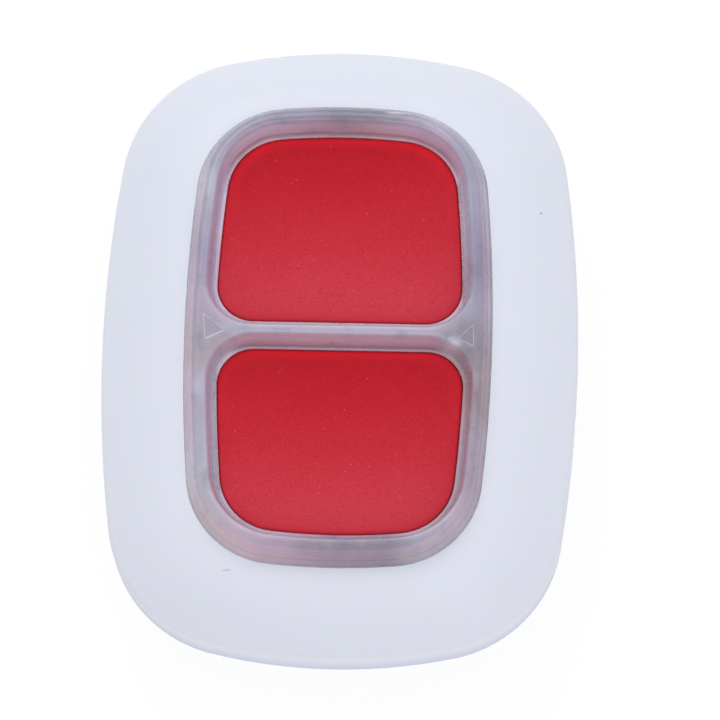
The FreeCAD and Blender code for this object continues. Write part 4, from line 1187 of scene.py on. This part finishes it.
@dataclass
class CarriedOver:
    """The solids that keep their own shape and get a finish."""

    finishes: tuple[tuple[str, ...], ...] = (
        ("SHELL", "front_shell", "rear_shell"),
        ("SEAL", "case_seal"),
        ("GUIDE", "light_guide"),
        ("CARRIER", "button_carrier"),
        ("BOARD", "circuit_board"),
        ("CAP", "upper_button_cap", "lower_button_cap"),
        ("BOOT", "upper_button_boot", "lower_button_boot"),
        ("SWITCH", "upper_switch_body", "lower_switch_body"),
        ("PLUNGER", "upper_switch_plunger", "lower_switch_plunger"),
        ("LAMP", "top_lamp", "bottom_lamp", "left_lamp", "right_lamp"),
        ("CHIP", "radio_chip"),
        ("CAN", "crystal"),
        ("CAPACITOR", "reservoir_capacitor"),
        ("ANTENNA", "antenna"),
        ("CELL", "battery_cell"),
        ("SPRING", "battery_positive_clip", "battery_negative_contact"),
        ("SCREW", "case_screws"),
    )

    def build(self) -> None:
        """Finishes every node."""
        for kind, *names in self.finishes:
            for name in names:
                dress(NODES[name], Finishes[kind])
                log.info("node %s: %s", name, Finishes[kind].value.name)


# Studio


@dataclass
class Studio:
    """White table, soft light and the camera of the photograph."""

    focal_length: float = 238.0
    distance: float = 352.0
    eye_level: float = 10.0
    pitch_yaw_roll: Place = (-16.5, -2.0, -1.1)
    shift: Point = (0.0279, -0.01125)
    table_size: float = 3.0
    table_drop: float = 0.05
    table_colours: tuple[Colour, Colour] = ((0.9, 0.9, 0.9, 1), (0.86, 0.86, 0.87, 1))
    table_glow: float = 1.03
    glow_share: float = 0.88
    ambient: float = 0.68
    ambient_colour: Colour = (0.96, 0.98, 1.0, 1)
    lamps: tuple[tuple[str, Place, float, float], ...] = (
        ("key_softbox", (-0.08, 0.36, 0.44), 0.42, 1.12),
        ("fill_softbox", (0.16, -0.44, 0.44), 0.6, 1.0),
    )

    def table(self) -> None:
        """Lays a white table that keeps a faint shadow. Gloss and glass see it as the camera does."""
        bpy.ops.mesh.primitive_plane_add(size=self.table_size, location=(0, 0, -self.table_drop * MM))
        table = bpy.context.object
        table.name = "table"
        sheet = Sheet("table_white")
        sheet.set(Base_Color=sheet.mix(*self.table_colours, sheet.noise(0.02, 2)), Roughness=0.8)
        path = sheet.node("LightPath").outputs
        rays = ("Camera", "Glossy", "Transmission")
        camera, gloss, glass = (Field(sheet, path[f"Is {ray} Ray"]) for ray in rays)
        seen = camera.greater(gloss).greater(glass)
        glow = sheet.node("Emission", {"Color": WHITE, "Strength": self.table_glow})
        shaders = {0: seen * self.glow_share, 1: sheet.shader.outputs[0], 2: glow.outputs[0]}
        sheet.feed(sheet.output.inputs[0], sheet.node("MixShader", shaders).outputs[0])
        table.data.materials.append(sheet.material)
        table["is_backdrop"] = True

    def world(self) -> None:
        """Gives even light all round that looks white to the camera."""
        world = bpy.data.worlds.new("studio")
        world.use_nodes = True
        tree = Tree(world.node_tree)
        camera = tree.node("LightPath").outputs["Is Camera Ray"]
        even = tree.node("Background", {0: self.ambient_colour, 1: self.ambient}).outputs[0]
        white = tree.node("Background", {0: WHITE}).outputs[0]
        mixed = tree.node("MixShader", {0: camera, 1: even, 2: white}).outputs[0]
        tree.node("OutputWorld", {0: mixed})
        bpy.context.scene.world = world

    def lamp(self, name: str, place: Place, size: float, watts: float) -> None:
        """Hangs one soft square light, turned to the case."""
        bpy.ops.object.light_add(type="AREA", location=place)
        lamp = bpy.context.object
        lamp.name = name
        lamp.data.shape = "SQUARE"
        lamp.data.size = size
        lamp.data.energy = watts
        lamp.rotation_euler = (-Vector(place)).to_track_quat("-Z", "Y").to_euler()

    def camera(self) -> None:
        """Sets up the camera as the photograph has it."""
        data = bpy.data.cameras.new("photograph")
        camera = bpy.data.objects.new("photograph", data)
        bpy.context.scene.collection.objects.link(camera)
        turn = Euler([math.radians(angle) for angle in self.pitch_yaw_roll]).to_matrix().to_4x4()
        camera.matrix_world = (
            Matrix.Translation((0, 0, self.eye_level * MM))
            @ turn.transposed()
            @ Matrix.Translation((0, 0, self.distance * MM))
        )
        data.lens = self.focal_length
        data.sensor_width = 36.0
        data.shift_x, data.shift_y = self.shift
        data.clip_start, data.clip_end = 0.01, 20.0
        bpy.context.scene.camera = camera

    def build(self) -> None:
        """Builds the studio."""
        self.table()
        self.world()
        for name, place, size, watts in self.lamps:
            self.lamp(name, place, size, watts)
        self.camera()
        bpy.context.scene.view_settings.view_transform = "Standard"


def note_sizes(sizes: dict[str, list[list[float]]], name: str) -> None:
    """Keeps the present bounds under a name."""
    sizes[name] = [list(corner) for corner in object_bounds()]


def main() -> None:
    """Builds and dresses every piece, then the studio."""
    sizes: dict[str, list[list[float]]] = {}
    note_sizes(sizes, "cad")
    CarriedOver().build()
    LightGuide().build()
    Buttons().build()
    Studio().build()
    note_sizes(sizes, "visual")


if __name__ == "__main__":
    main()
